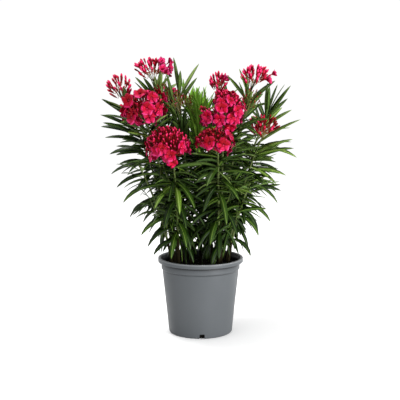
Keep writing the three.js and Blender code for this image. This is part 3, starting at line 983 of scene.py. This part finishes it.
long_start, long_first, long_length, long_bend, long_roll, long_stem = long_leaves()
in_middle = long_stem == NAMES.index("middle")
in_front = np.isin(long_stem, numbers_of(["front_left", "front_right"]))
long_width = LEAF_WIDE * chance.uniform(0.98, 1.16, len(long_stem))
long_width = long_width * np.where(in_middle, 0.62, np.where(in_front, 1.12, 1.0))
long_parts = leaf_rings(long_start, long_first, long_length, long_width, long_bend, long_roll)
rings, base, point = (np.concatenate(pair) for pair in zip((rings, base, point), long_parts))
by_hand = np.arange(len(rings)) >= count
owner, place = np.concatenate([owner, long_stem]), np.concatenate([place, long_start])
# The long leaves' tint youth grows with height and, as painted light, towards the right. Front leaves above a
# given height are dealt 0.9 outright, a lighter tint.
to_right, height = long_start[:, 0] / LIGHTER_RIGHT_WIDTH, long_start[:, 2]
youth_and_painted_light = blend(0.05, 0.85, to_right) * blend(0.2, 1, (height - YOUNG_FROM) / YOUNG_FADE)
youth = np.concatenate([youth, np.where(in_front & (height > FRONT_LIGHTER_FROM), 0.9, youth_and_painted_light)])
small = np.concatenate([small, np.zeros(len(long_stem), bool)])
feathery = np.concatenate([feathery, in_middle])
print("long leaves:", len(long_stem))

# %% [markdown]
# ## Leaves that have room
#
# A real leaf that would press on a flower head or the pot grows round it or drops. Bending each one out of
# the way would take a search, so those leaves are left out, as are the ones past the crown's outline, in
# its notch or in the window in front of the pale young shoot. The leaves listed one by one all stay.

# %% Keep the leaves that have room
ROOM = 16 * MM
NOTCH_HALF, NOTCH_FOOT = 50 * MM, 812 * MM
CROWN_HEIGHTS = np.array([250, 300, 370, 440, 530, 600, 680, 800, 920]) * MM
CROWN_HALF_WIDTHS = np.array([150, 176, 218, 254, 288, 300, 320, 312, 270]) * MM
CROWN_DEPTH = 0.8
CREST_HEIGHT = 862 * MM
WINDOW_LOW, WINDOW_HIGH = np.array([[-74, -260, 655], [28, 40, 830]]) * MM
POT_CLEAR, MOUTH_CLEAR = 8 * MM, 14 * MM
HEAD_CLEAR = 0.95
head_boxes = np.array([[list(corner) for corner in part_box(node)] for node in nodes_of("head", HEADS)])
head_middle, head_half = head_boxes.mean(1), (head_boxes[:, 1] - head_boxes[:, 0]) / 2


def clear_of_heads(spine):
    """Which leaves have no station in a head, or beyond it as seen from the plant's axis, where they would
    hide it. A head is an ellipsoid, and a station's depth in it is the length of offset / half size."""
    outward = unit(head_middle * LEVEL)
    offset = spine[:, :, None] - head_middle
    beyond = np.maximum((offset * outward).sum(-1), 0)[..., None]
    depth = np.linalg.norm((offset - beyond * outward) / head_half, axis=-1)
    return np.all(depth > HEAD_CLEAR, axis=(1, 2))


def clear_of_pot(lowest, point):
    """Which leaves stay above the rim, or end over the soil inside it."""
    over_soil = (lowest > SOIL_TOP + POT_CLEAR) & (np.hypot(*point[:, :2].T) < MOUTH - MOUTH_CLEAR)
    return (lowest > POT_HEIGHT + POT_CLEAR) | over_soil


def in_crown(point):
    """Which leaf tips lie in the crown's outline: an ellipse at each height, less the notch at the top."""
    half_wide = np.interp(point[:, 2], CROWN_HEIGHTS, CROWN_HALF_WIDTHS)
    in_outline = np.hypot(point[:, 0] / half_wide, point[:, 1] / half_wide / CROWN_DEPTH) < 1
    in_notch = (np.abs(point[:, 0]) < NOTCH_HALF) & (point[:, 2] > NOTCH_FOOT)
    return in_outline & ~in_notch


lowest, highest = (found(rings.reshape(len(rings), -1, 3), axis=1) for found in (np.min, np.max))
inside = np.all((lowest > np.array(cad_box[0]) - ROOM) & (highest < np.array(cad_box[1]) + ROOM), axis=1)
spine = np.concatenate([rings[:, 2:].mean(2), point[:, None]], 1)
in_window = np.any(np.all((spine > WINDOW_LOW) & (spine < WINDOW_HIGH), axis=-1), axis=1) & ~feathery
has_room = clear_of_pot(lowest[:, 2], point) & clear_of_heads(spine) & (highest[:, 2] < CREST_HEIGHT)
kept = by_hand | (inside & has_room & in_crown(point) & ~in_window)
print("leaves grown:", len(kept), "kept:", int(kept.sum()))

# %% [markdown]
# ## Leaf colours
#
# Old leaves are a deep leathery green, younger ones brighter, and the newest in the middle of the bush
# nearly lime. Leaves high up and towards the right are also dealt lighter tints, and low ones never the
# brightest: that is painted light and shade. The colours are dealt out spray by spray as plain colours,
# each with its own midrib and underside, and the gloss alone varies from place to place, as it does on a
# waxy leaf.

# %% Leaf pieces
TINTS = {
    "deep": (screen(16, 34, 3), screen(62, 84, 26), screen(38, 58, 17)),
    "fresh": (screen(36, 59, 9), screen(104, 126, 52), screen(62, 84, 32)),
    "bright": (screen(74, 100, 28), screen(146, 162, 92), screen(96, 116, 58)),
    "lime": (screen(108, 164, 34), screen(156, 192, 86), screen(118, 160, 58)),
}
SHADED_BELOW = 460 * MM
PAINTED_LIGHT_EDGE = 170 * MM
SPRAY_HIGH = 40 * MM
SPRAYS_A_STEM = 60
TINT_STEPS = [0.42, 0.78]


def leaf_finish(name, colour, roughness):
    """A waxy leaf surface whose gloss wanders a little."""
    finish = Finish(name, colour, roughness, specular_ior_level=0.16)
    wax = finish.noise(60.0, 2.0)
    return finish.feed(roughness=wax * 0.3 + (roughness - 0.15))


def deal_tints():
    """The number of each leaf's tint: 0.16 + 0.3 light + 0.75 x + 0.34 youth, with whole sprays a shade up
    or down, cut into steps. The light and x terms are painted light: higher leaves and leaves further right
    get lighter tints. Low leaves are never bright, which is painted shade, the right edge has no deep
    leaves, which is painted light, and the feathery shoot is lime."""
    spray = chance.normal(0, 0.16, len(NAMES) * SPRAYS_A_STEM)
    across, height = place[:, 0], place[:, 2]
    key = owner * SPRAYS_A_STEM + (height / SPRAY_HIGH).astype(int) + np.where(small, SPRAYS_A_STEM // 2, 0)
    # Painted light: leaves further right, and higher up through the light term, are dealt lighter tints.
    painted_light_right = 0.75 * np.clip(across, -80 * MM, 250 * MM)
    shade = 0.16 + 0.3 * in_light(height) + painted_light_right + 0.34 * youth + spray[key]
    tint = np.digitize(shade + chance.normal(0, 0.12, len(youth)), TINT_STEPS)
    # Painted shade: low leaves never get the bright tint. Painted light: leaves at the right edge never get the
    # deep one.
    tint = np.where(height < SHADED_BELOW, np.minimum(tint, 1), tint)
    tint = np.where(across > PAINTED_LIGHT_EDGE, np.maximum(tint, 1), tint)
    tint[feathery] = list(TINTS).index("lime")
    return tint


LEAF_PARTS = {"leaf": 0.42, "midrib": 0.5, "underside": 0.62}
LEAF_ROUND = [0, 1, 0, 2, 2]
tints = deal_tints()
blade_rows = LEAF_ROUND * (len(LEAF_STATIONS) - 1)
for number, (tint, colours) in enumerate(TINTS.items()):
    mine = kept & (tints == number)
    finishes = [
        leaf_finish(f"{part}_{tint}", colour, roughness)
        for (part, roughness), colour in zip(LEAF_PARTS.items(), colours)
    ]
    faces = finish_rows(blade_rows, LEAF_ROUND * 2, mine.sum())
    made = piece(f"leaves_{tint}", *skins(rings[mine], base[mine], point[mine]), finishes, "leaves", faces)
    if tint == "deep":
        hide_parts(*nodes_of("leaves", NAMES))

# %% [markdown]
# ## Flower heads
#
# Each head is a cyme: the shoot's tip forks into rays, every ray into thin stalks, and each stalk ends in
# a flower or a bud. The flowers open from the outside in, so a head in full flower keeps a cushion of dark
# buds on top, and a young head is all buds. Places are dealt over the head's dome by the golden angle,
# which spaces them evenly with no pattern. The draws start again from their own seed here, so that adding
# a leaf leaves every flower where it is.

# %% Young sprays
chance = np.random.default_rng(BLOOM_SEED)
SPRAYS = {
    "middle": ((-48, -22, 768), (34, 26, 32), 690),
    "left_inner": ((-82, -34, 772), (44, 30, 42), 690),
    "right_tall": ((160, -26, 772), (40, 28, 44), 690),
    "left_tall": ((-122, -20, 800), (34, 28, 34), 724),
}
spray_middle, spray_half, fork_height = (np.array(column) * MM for column in zip(*SPRAYS.values()))
spray_root, _ = stem_points(numbers_of(SPRAYS), fork_height)
head_root = np.concatenate([tips[numbers_of(HEADS)], spray_root])
head_middle = np.concatenate([head_middle, spray_middle])
head_half = np.concatenate([head_half, spray_half])
print("sprays:", len(SPRAYS))

# %% Places on the domes
GOLDEN = math.pi * (3 - math.sqrt(5))
# The first four numbers of a stage are in millimetres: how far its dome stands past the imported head, the gaps
# between flowers and between buds, and a bud's length. Buds reach down to the lowest share of the dome's
# height and in to the innermost share of its depth. A flower that is opening leans up and is cupped by so
# much more than an open one. In a head still in bud, early is the chance that a place has a flower already.
Stage = namedtuple("Stage", "spread flower_gap bud_gap bud_long lowest innermost lean cupped early")
STAGES = {
    "open": Stage(-3, 39, 12, 14, -0.2, 0.85, 0, 0, None),
    "half": Stage(1, 25, 18.5, 23, -0.3, 0.88, 0.4, 0.62, None),
    "bud": Stage(4, 39, 19.5, 23, -0.4, 0.88, 0.6, 0.75, 0.05),
    "tall": Stage(2, 39, 19.5, 28, -0.35, 0.78, 0.6, 0.75, 0.05),
    "spray": Stage(-3, 39, 24, 7, -0.7, 0.5, 0.6, 0.75, 0),
}
STAGE_OF = {"left_tall": "half", "right_tall": "tall", "right_inner": "tall"}
OPEN_TO = {"front_left": 0.06, "left_front": 0.64, "right_mid": 0.8, "front_right": 0.45, "left_tall": 0.95}
OPEN_TO_USUAL = 0.5
OPEN_DOWN_TO = -0.95
FLOWER_GAP = {"front_right": 47}
NEVER_EARLY = ["right_outer"]
BUD_CLEAR = 13 * MM
DOME_JITTER = 0.14
# Boxes of headings, from one corner to the other, with 2 for no limit: where a head's dome is missing, where
# its flowers haven't opened, and the only side where they have.
MISSING = {"right_mid": ((-2, -2, 0.1), (-0.3, 2, 2))}
UNOPENED = {"front_left": ((0.25, -2, -2), (2, 2, -0.42)), "right_mid": ((-2, -2, -0.3), (-0.4, 2, 2))}
OPENED = {"left_tall": ((0.25, -2, -0.6), (2, 0.6, 0.6)), "right_tall": ((0.35, -2, -2), (2, 0.4, 0.1))}
NOWHERE = ((2, 2, 2), (2, 2, 2))


def within(heading, low, high):
    """Which headings lie in a box of headings between two corners."""
    return np.all((heading > low) & (heading < high), axis=1)


def golden_headings(count, highest, lowest, first_turn):
    """Headings over a dome, each turned by the golden angle from the last. Their height share runs evenly
    from highest to lowest, which gives each of them the same area."""
    up = highest - (np.arange(count) + 0.5) / count * (highest - lowest)
    return around_axis(np.sqrt(1 - up**2), np.arange(count) * GOLDEN + first_turn, up)


def head_name(number):
    """The name of a head, or spray past the last of them."""
    return HEADS[number] if number < len(HEADS) else "spray"


def kind_of(number):
    """What stage a head is at: a spray of tiny buds, round or tall in bud, half open or in full flower."""
    usual = {"spray": "spray", **dict.fromkeys(FLOWERING, "open")}
    return STAGE_OF.get(head_name(number), usual.get(head_name(number), "bud"))


def dome(number, gap, highest, lowest):
    """Places and headings over a head's dome, some gap apart: as many as its area over the gap squared."""
    half = head_half[number]
    area = 2 * math.pi * half[0] * half[2] * (highest - lowest)
    places = max(3, int(area / (gap * MM) ** 2))
    heading = golden_headings(places, highest, lowest, chance.uniform(0, 6))
    heading = unit(heading + chance.normal(0, DOME_JITTER, heading.shape))
    heading = heading[~within(heading, *MISSING.get(head_name(number), NOWHERE))]
    return head_middle[number] + heading * (half + STAGES[kind_of(number)].spread * MM), heading


def head_flowers(number):
    """Flowers of one head: places, headings, and how far the petals stand up. Where a head is known to open
    on one side only, its flowers are the ones there."""
    name, stage = head_name(number), STAGES[kind_of(number)]
    gap = FLOWER_GAP.get(name, stage.flower_gap)
    place, heading = dome(number, gap, OPEN_TO.get(name, OPEN_TO_USUAL), OPEN_DOWN_TO)
    cup = np.clip(chance.normal(0.26, 0.1, len(place)) + 0.25 * np.maximum(heading[:, 2], 0), 0.05, 1)
    keep = ~within(heading, *UNOPENED.get(name, NOWHERE))
    if stage.early is not None:
        keep = chance.random(len(place)) < (0 if name in NEVER_EARLY else stage.early)
    if name in OPENED:
        keep = within(heading, *OPENED[name])
    return place[keep], heading[keep] + stage.lean * UP, cup[keep] + stage.cupped


def head_buds(number, opened):
    """Buds of one head, wherever no flower is: places, headings and lengths. They lie at all depths
    from the innermost share of the dome outwards, and point away from where the head's rays fork."""
    stage = STAGES[kind_of(number)]
    place, heading = dome(number, stage.bud_gap, 1.0, stage.lowest)
    inner = chance.uniform(stage.innermost, 1.0, len(place))[:, None]
    place = head_middle[number] + (place - head_middle[number]) * inner
    heading = unit(unit(place - head_root[number]) + chance.normal(0, 0.13, heading.shape))
    free = np.all(np.linalg.norm(place[:, None] - opened, axis=-1) > BUD_CLEAR, axis=1)
    length = chance.uniform(0.8, 1.2, len(place)) * (stage.bud_long * MM)
    return place[free], heading[free], length[free]


def head_places():
    """Flowers and buds of all heads, each with its head's number as the last column."""
    flowers, buds = [], []
    for number in range(len(head_middle)):
        found = head_flowers(number)
        flowers.append((*found, np.full(len(found[0]), number)))
        found = head_buds(number, found[0])
        buds.append((*found, np.full(len(found[0]), number)))
    return [[np.concatenate(column) for column in zip(*rows)] for rows in (flowers, buds)]


flowers, buds = head_places()
print("open flowers:", len(flowers[0]), "buds:", len(buds[0]))

# %% [markdown]
# ## One flower
#
# Five petals open from a narrow tube, each broad at the end and leaning to one side like a pinwheel. A
# petal is made as the leaf is: a ring of points at each of a few stations from the throat to the rim,
# closed at both ends. How far the petals stand up is one number, so a half open flower is the same
# formula. The throat is a deeper red and the rim is paler, and rows of faces take plain colours. How each
# flower is turned and tinted is dealt from a seed of its own. Petals that stand up are dealt darker
# tones, and the flowers of half open heads paler ones: painted shade and light.

# %% Flower shape
PETAL_OUT = np.array([0.1, 0.32, 0.56, 0.78, 0.94])
PETAL_HALF = np.array([0.13, 0.33, 0.49, 0.52, 0.36])
PETAL_ACROSS = np.array([-1.0, -0.4, 0.4, 1.0, 0.4, -0.4])
PETAL_UNDER = np.array([0, 0, 0, 0, -1.0, -1.0])
FLOWER_RADIUS = 23 * MM
PETAL_THICK = 0.5 * MM
PETALS = 5
STAND_MOST = 1.25
NO_HEADING = [0.03, 1.0, 0.02]


def petal_rings(cup, grown):
    """Petals of N flowers in flower coordinates, z towards the viewer, with both poles. A petal's height
    is 0.12 sin(pi t) - 0.1 t^3 + 0.1 t * across, its line leans aside by 0.16 t^2, cup stands it up, and
    grown is its size."""
    out = np.concatenate([[0.02], PETAL_OUT, [1.0]])[:, None]
    half = np.concatenate([[0], PETAL_HALF, [0]])[:, None]
    side = half * PETAL_ACROSS + 0.16 * out**2
    height = 0.12 * np.sin(math.pi * out) - 0.1 * out**3 + 0.1 * out * PETAL_ACROSS
    height = height + PETAL_UNDER * PETAL_THICK / FLOWER_RADIUS
    reach, height = swung(out * (1 + 0.06 * PETAL_ACROSS), height, cup[..., None, None] * STAND_MOST)
    x, y = swung(side, reach, full_circle(PETALS)[:, None, None])
    points = np.stack([x, y, height], -1) * FLOWER_RADIUS * grown[..., None, None, None]
    return points[:, :, 1:-1], points[:, :, 0].mean(2), points[:, :, -1].mean(2)


def facing(heading, spin):
    """For each heading, three unit vectors: two across it, turned by spin, and the heading itself."""
    first = unit(np.cross(heading, NO_HEADING))
    second, first = swung(np.cross(heading, first), first, spin[:, None])
    return np.stack([first, second, heading], 1)


def stand_at(points, axes, place, scale):
    """Shapes (N, ..., 3) set on their own axes: place + scale * points . axes."""
    count = len(points)
    flat = points.reshape(count, -1, 3)
    moved = place[:, None] + scale[:, None, None] * np.einsum("npi,nij->npj", flat, axes)
    return moved.reshape(points.shape)


def petal_finish(name, colour):
    """Soft petals: matt, with gloss that wanders a little."""
    finish = Finish(name, colour, 0.6, specular_ior_level=0.08)
    return finish.feed(roughness=finish.noise(90.0, 2.0) * 0.2 + 0.5)


# %% Flower pieces
PETAL_TINTS = {
    "crimson": (screen(114, 0, 18), screen(146, 2, 34), screen(160, 16, 70)),
    "ruby": (screen(92, 0, 6), screen(120, 0, 16), screen(140, 4, 44)),
    "rose": (screen(134, 6, 32), screen(156, 14, 56), screen(170, 42, 94)),
}
LEVELLED = [1, 1, 0.6]
TURNED_UP = 0.16 * UP
FLOWER_SUNK = 16 * MM
chance = np.random.default_rng(FLOWER_SEED)
place, heading, cup, flower_head = flowers
heading = unit(heading * LEVELLED + TURNED_UP + chance.normal(0, 0.2, heading.shape))
axes = facing(heading, chance.uniform(0, 6, len(heading)))
scale = chance.uniform(0.84, 1.06, len(heading))
place = place - heading * chance.uniform(0, FLOWER_SUNK, len(heading))[:, None]
petal_cup = cup[:, None] + chance.normal(0, 0.07, (len(cup), PETALS))
shapes = petal_rings(petal_cup, chance.uniform(0.88, 1.06, petal_cup.shape))
rings, starts, ends = (stand_at(part, axes, place, scale) for part in shapes)
petal_up = unit(ends - place[:, None])[..., 2]
head_kinds = np.array([kind_of(number) for number in range(len(head_middle))])
just_open = (head_kinds != "open")[flower_head, None]
# Painted shade and light: petals standing up get darker tones, and flowers on heads not fully open paler ones.
shade = chance.normal(0.5, 0.22, len(place))[:, None] - 0.32 * petal_up + 0.5 * just_open
tone = np.array(["ruby", "crimson", "rose"])[np.digitize(shade, [0.36, 0.62])]
petal_rows = np.repeat([0, 1, 1, 2], len(PETAL_ACROSS))
petal_ends = np.repeat([0, 2], len(PETAL_ACROSS))
for tint, colours in PETAL_TINTS.items():
    mine = tone == tint
    faces = finish_rows(petal_rows, petal_ends, mine.sum())
    finishes = [petal_finish(f"{tint}_{part}", c) for part, c in zip(("heart", "petal", "rim"), colours)]
    made = piece(f"petals_{tint}", *skins(rings[mine], starts[mine], ends[mine]), finishes, "flowers", faces)
    if tint == "crimson":
        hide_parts(*nodes_of("head", FLOWERING))

# %% Flower tubes and crowns
TUBE_LONG, TUBE_PAST, TUBE_SIDES = 13 * MM, 1.04, 6
TUBE_HALF, CROWN_LONG, CROWN_HALF = 3 * MM, 3.6 * MM, 1.6 * MM
CROWN_SIDES, CROWN_TWIST = 5, 0.8
TUBE_SHAPE = [(0.05, 0.3), (0.4, 0.42), (0.8, 0.85), (0.99, 1.0)]
CROWN_SHAPE = [(0.05, 1.0), (0.5, 1.2), (0.95, 0.7)]


def spindles(place, heading, length, radius, stations, sides, twist=0.0):
    """Round closed shapes along a heading: each station is a share of the length and of the radius, turned
    on by twist * that share, with a pole at both ends."""
    share, width = np.array(stations).T
    axes = facing(heading, chance.uniform(0, 6, len(place)))
    ring = around_axis(width[:, None], full_circle(sides) + twist * share[:, None], 0)[..., :2]
    around = np.einsum("ksi,nij->nksj", ring, axes[:, :2]) * radius[:, None, None, None]
    line = place[:, None] + heading[:, None] * share[:, None] * length[:, None, None]
    return skins(line[:, :, None] + around, place, place + heading * length[:, None])


flower_base = place - heading * TUBE_LONG
tube_long = np.full(len(place), TUBE_LONG * TUBE_PAST)
tube = spindles(flower_base, heading, tube_long, scale * TUBE_HALF, TUBE_SHAPE, TUBE_SIDES)
piece("flower_tubes", *tube, [petal_finish("flower_tube", screen(128, 12, 40))], "flowers")
crown = spindles(
    place, heading, scale * CROWN_LONG, scale * CROWN_HALF, CROWN_SHAPE, CROWN_SIDES, CROWN_TWIST
)
piece("flower_crowns", *crown, [petal_finish("flower_crown", screen(186, 48, 92))], "flowers")

# %% [markdown]
# ## Buds and stalks
#
# A bud is a slim spindle with the petals' twist still in it. Young buds are dark red and thin, older ones
# fat and crimson. Under every bud and flower sits a small calyx, and a stalk runs from there back to its
# ray, so that nothing in the head floats.

# %% Buds
BUD_SHAPE = [(0.04, 0.45), (0.2, 0.72), (0.45, 0.8), (0.68, 1.0), (0.85, 0.75), (0.96, 0.28)]
BUD_SIDES, BUD_TWIST = 6, 1.4
BUD_THICKNESS, BUD_THICKEST = 0.175, 4 * MM
BUD_TINTS = {
    "young": (screen(74, 4, 4), screen(106, 8, 12)),
    "ripe": (screen(112, 6, 16), screen(166, 18, 52)),
    "bright": (screen(142, 8, 38), screen(196, 40, 90)),
}
BUD_RIPENESS = {"right_outer": -0.6, "front_left": 0.3, "left_front": 0.15, "right_mid": 0.15}
MIDDLING_BUD = 13 * MM
place, heading, bud_long, bud_head = buds
bud_base = place - heading * bud_long[:, None]
bud_rows = np.repeat([0, 0, 0, 1, 1], BUD_SIDES)
bud_ends = np.repeat([0, 1], BUD_SIDES)
ripeness = np.array([BUD_RIPENESS.get(head_name(number), 0) for number in range(len(head_middle))])
ripeness = chance.random(len(place)) + (bud_long - MIDDLING_BUD) / MM * 0.05 + ripeness[bud_head]
bud_tone = np.array(list(BUD_TINTS))[np.digitize(ripeness, [0.5, 0.9])]
for tint, colours in BUD_TINTS.items():
    mine = bud_tone == tint
    fat = np.minimum(bud_long[mine] * BUD_THICKNESS, BUD_THICKEST)
    bud = spindles(bud_base[mine], heading[mine], bud_long[mine], fat, BUD_SHAPE, BUD_SIDES, BUD_TWIST)
    finishes = [petal_finish(f"bud_{part}_{tint}", colour) for part, colour in zip(("foot", "tip"), colours)]
    made = piece(f"buds_{tint}", *bud, finishes, "buds", finish_rows(bud_rows, bud_ends, mine.sum()))
    if tint == "young":
        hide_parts(*nodes_of("head", BUDDING))

# %% Calyces, stalks and rays
STALK_STEPS, STALK_SIDES, STALK_HALF = 5, 5, 0.9 * MM
STALK_KNEE = 14 * MM
RAY_COUNT, RAY_SIDES, RAY_HALF = 8, 6, 0.95 * MM
CALYX_LONG, CALYX_HALF, CALYX_SIDES = 6 * MM, 1.9 * MM, 5
SPRAY_CLIMB = 8 * MM
CALYX_SHAPE = [(0.05, 0.5), (0.4, 1.0), (0.95, 0.75)]
all_base = np.concatenate([flower_base, bud_base])
all_heading = np.concatenate([axes[:, 2], heading])
all_head = np.concatenate([flower_head, bud_head])
calyx_foot = all_base - all_heading * CALYX_LONG * 0.45
calyx_long, calyx_half = (np.full(len(all_base), size) for size in (CALYX_LONG, CALYX_HALF))
calyx = spindles(calyx_foot, all_heading, calyx_long, calyx_half, CALYX_SHAPE, CALYX_SIDES)
piece("calyces", *calyx, [petal_finish("calyx", screen(84, 18, 14))], "buds")


def curve_between(start, knee, end):
    """Lines that leave start towards knee and arrive at end: (1-t)^2 a + 2 t (1-t) b + t^2 c."""
    share = np.linspace(0, 1, STALK_STEPS)[:, None]
    start, knee, end = start[:, None], knee[:, None], end[:, None]
    return (1 - share) ** 2 * start + 2 * share * (1 - share) * knee + share**2 * end


def head_rays():
    """Rays of every head: they spread from the shoot's tip part of the way to the dome. A spray's rays
    leave its stem one above the other."""
    _, along_stem = stem_points(numbers_of([*HEADS, *SPRAYS]), head_root[:, 2])
    spread = golden_headings(RAY_COUNT, 1.0, 0.1, 0.0)
    end = (head_middle - head_half * 0.5 * UP)[:, None] + spread * head_half[:, None] * 0.45
    climb = np.arange(RAY_COUNT) * SPRAY_CLIMB
    climb = (head_kinds == "spray")[:, None, None] * climb[:, None]
    start = head_root[:, None] + climb * along_stem[:, None]
    knee = start * 0.45 + end * 0.55 - (head_half * 0.15 * UP)[:, None]
    return curve_between(*(points.reshape(-1, 3) for points in (start, knee, end)))


rays = head_rays()
ray_ends = rays[:, -1].reshape(len(head_middle), RAY_COUNT, 3)
away = np.linalg.norm(ray_ends[all_head] - calyx_foot[:, None], axis=-1)
nearest_ray = ray_ends[all_head, away.argmin(1)]
stalks = curve_between(nearest_ray, calyx_foot - all_heading * STALK_KNEE, calyx_foot)
stalk_finishes = [
    petal_finish("flower_stalk", screen(132, 62, 50)),
    petal_finish("flower_stalk_deep", screen(104, 12, 14)),
    petal_finish("flower_stalk_green", screen(96, 100, 48)),
]
stalk_tint = np.select([head_kinds == "open", head_kinds == "spray"], [1, 2], 0)[all_head]
faces_each = ((STALK_STEPS - 1) * STALK_SIDES, 2 * STALK_SIDES)
stalk_faces = np.concatenate([np.repeat(stalk_tint, faces) for faces in faces_each])
stalk_skins = tubes(stalks, np.full(stalks.shape[:2], STALK_HALF), STALK_SIDES)
piece("flower_stalks", *stalk_skins, stalk_finishes, "buds", stalk_faces)
ray_skins = tubes(rays, np.full(rays.shape[:2], RAY_HALF), RAY_SIDES)
piece("head_rays", *ray_skins, [petal_finish("head_ray", screen(104, 100, 56))], "buds")

# %% [markdown]
# ## Floor and light
#
# The plant stands on a plain pale floor in an evenly lit white studio. A soft light hangs nearly overhead, a
# little to the left, and drops a soft shadow to the right of the pot. A second one stands low in front on the
# right, where it models the pot's side without washing that shadow out.

# %% Floor and light
FLOOR_HALF = 15.0
STUDIO_LIGHT = 1.03
floor_mesh = bpy.data.meshes.new("floor")
corners = [(x * FLOOR_HALF, y * FLOOR_HALF, 0) for x, y in ((-1, -1), (1, -1), (1, 1), (-1, 1))]
floor_mesh.from_pydata(corners, [], [(0, 1, 2, 3)])
floor_mesh.materials.append(Finish("pale_floor", (0.98, 0.98, 0.98), 0.9, specular_ior_level=0.0).material)
floor = put_in_scene("floor", floor_mesh)

world = bpy.data.worlds.new("studio")
world.use_nodes = True
background = world.node_tree.nodes["Background"]
background.inputs["Color"].default_value = (1, 1, 1, 1)
background.inputs["Strength"].default_value = STUDIO_LIGHT
bpy.context.scene.world = world


def softbox(name, place, aim, size, power):
    """A square area light at place, turned to face aim."""
    data = bpy.data.lights.new(name, "AREA")
    data.size = size
    data.energy = power
    lamp = put_in_scene(name, data)
    lamp.location = place
    offset = np.array(aim) - np.array(place)
    tilt = math.acos(-offset[2] / np.linalg.norm(offset))
    lamp.rotation_euler = (tilt, 0, math.atan2(offset[1], offset[0]) - math.pi / 2)


softbox("top_light", (-0.8, 0.2, 2.8), (0, 0, 0.5), 0.6, 72)
softbox("key_light", (2.3, -2.5, 0.42), (0, 0, 0.45), 0.8, 155)
bpy.context.scene.view_settings.view_transform = "Standard"
print("floor and light set")
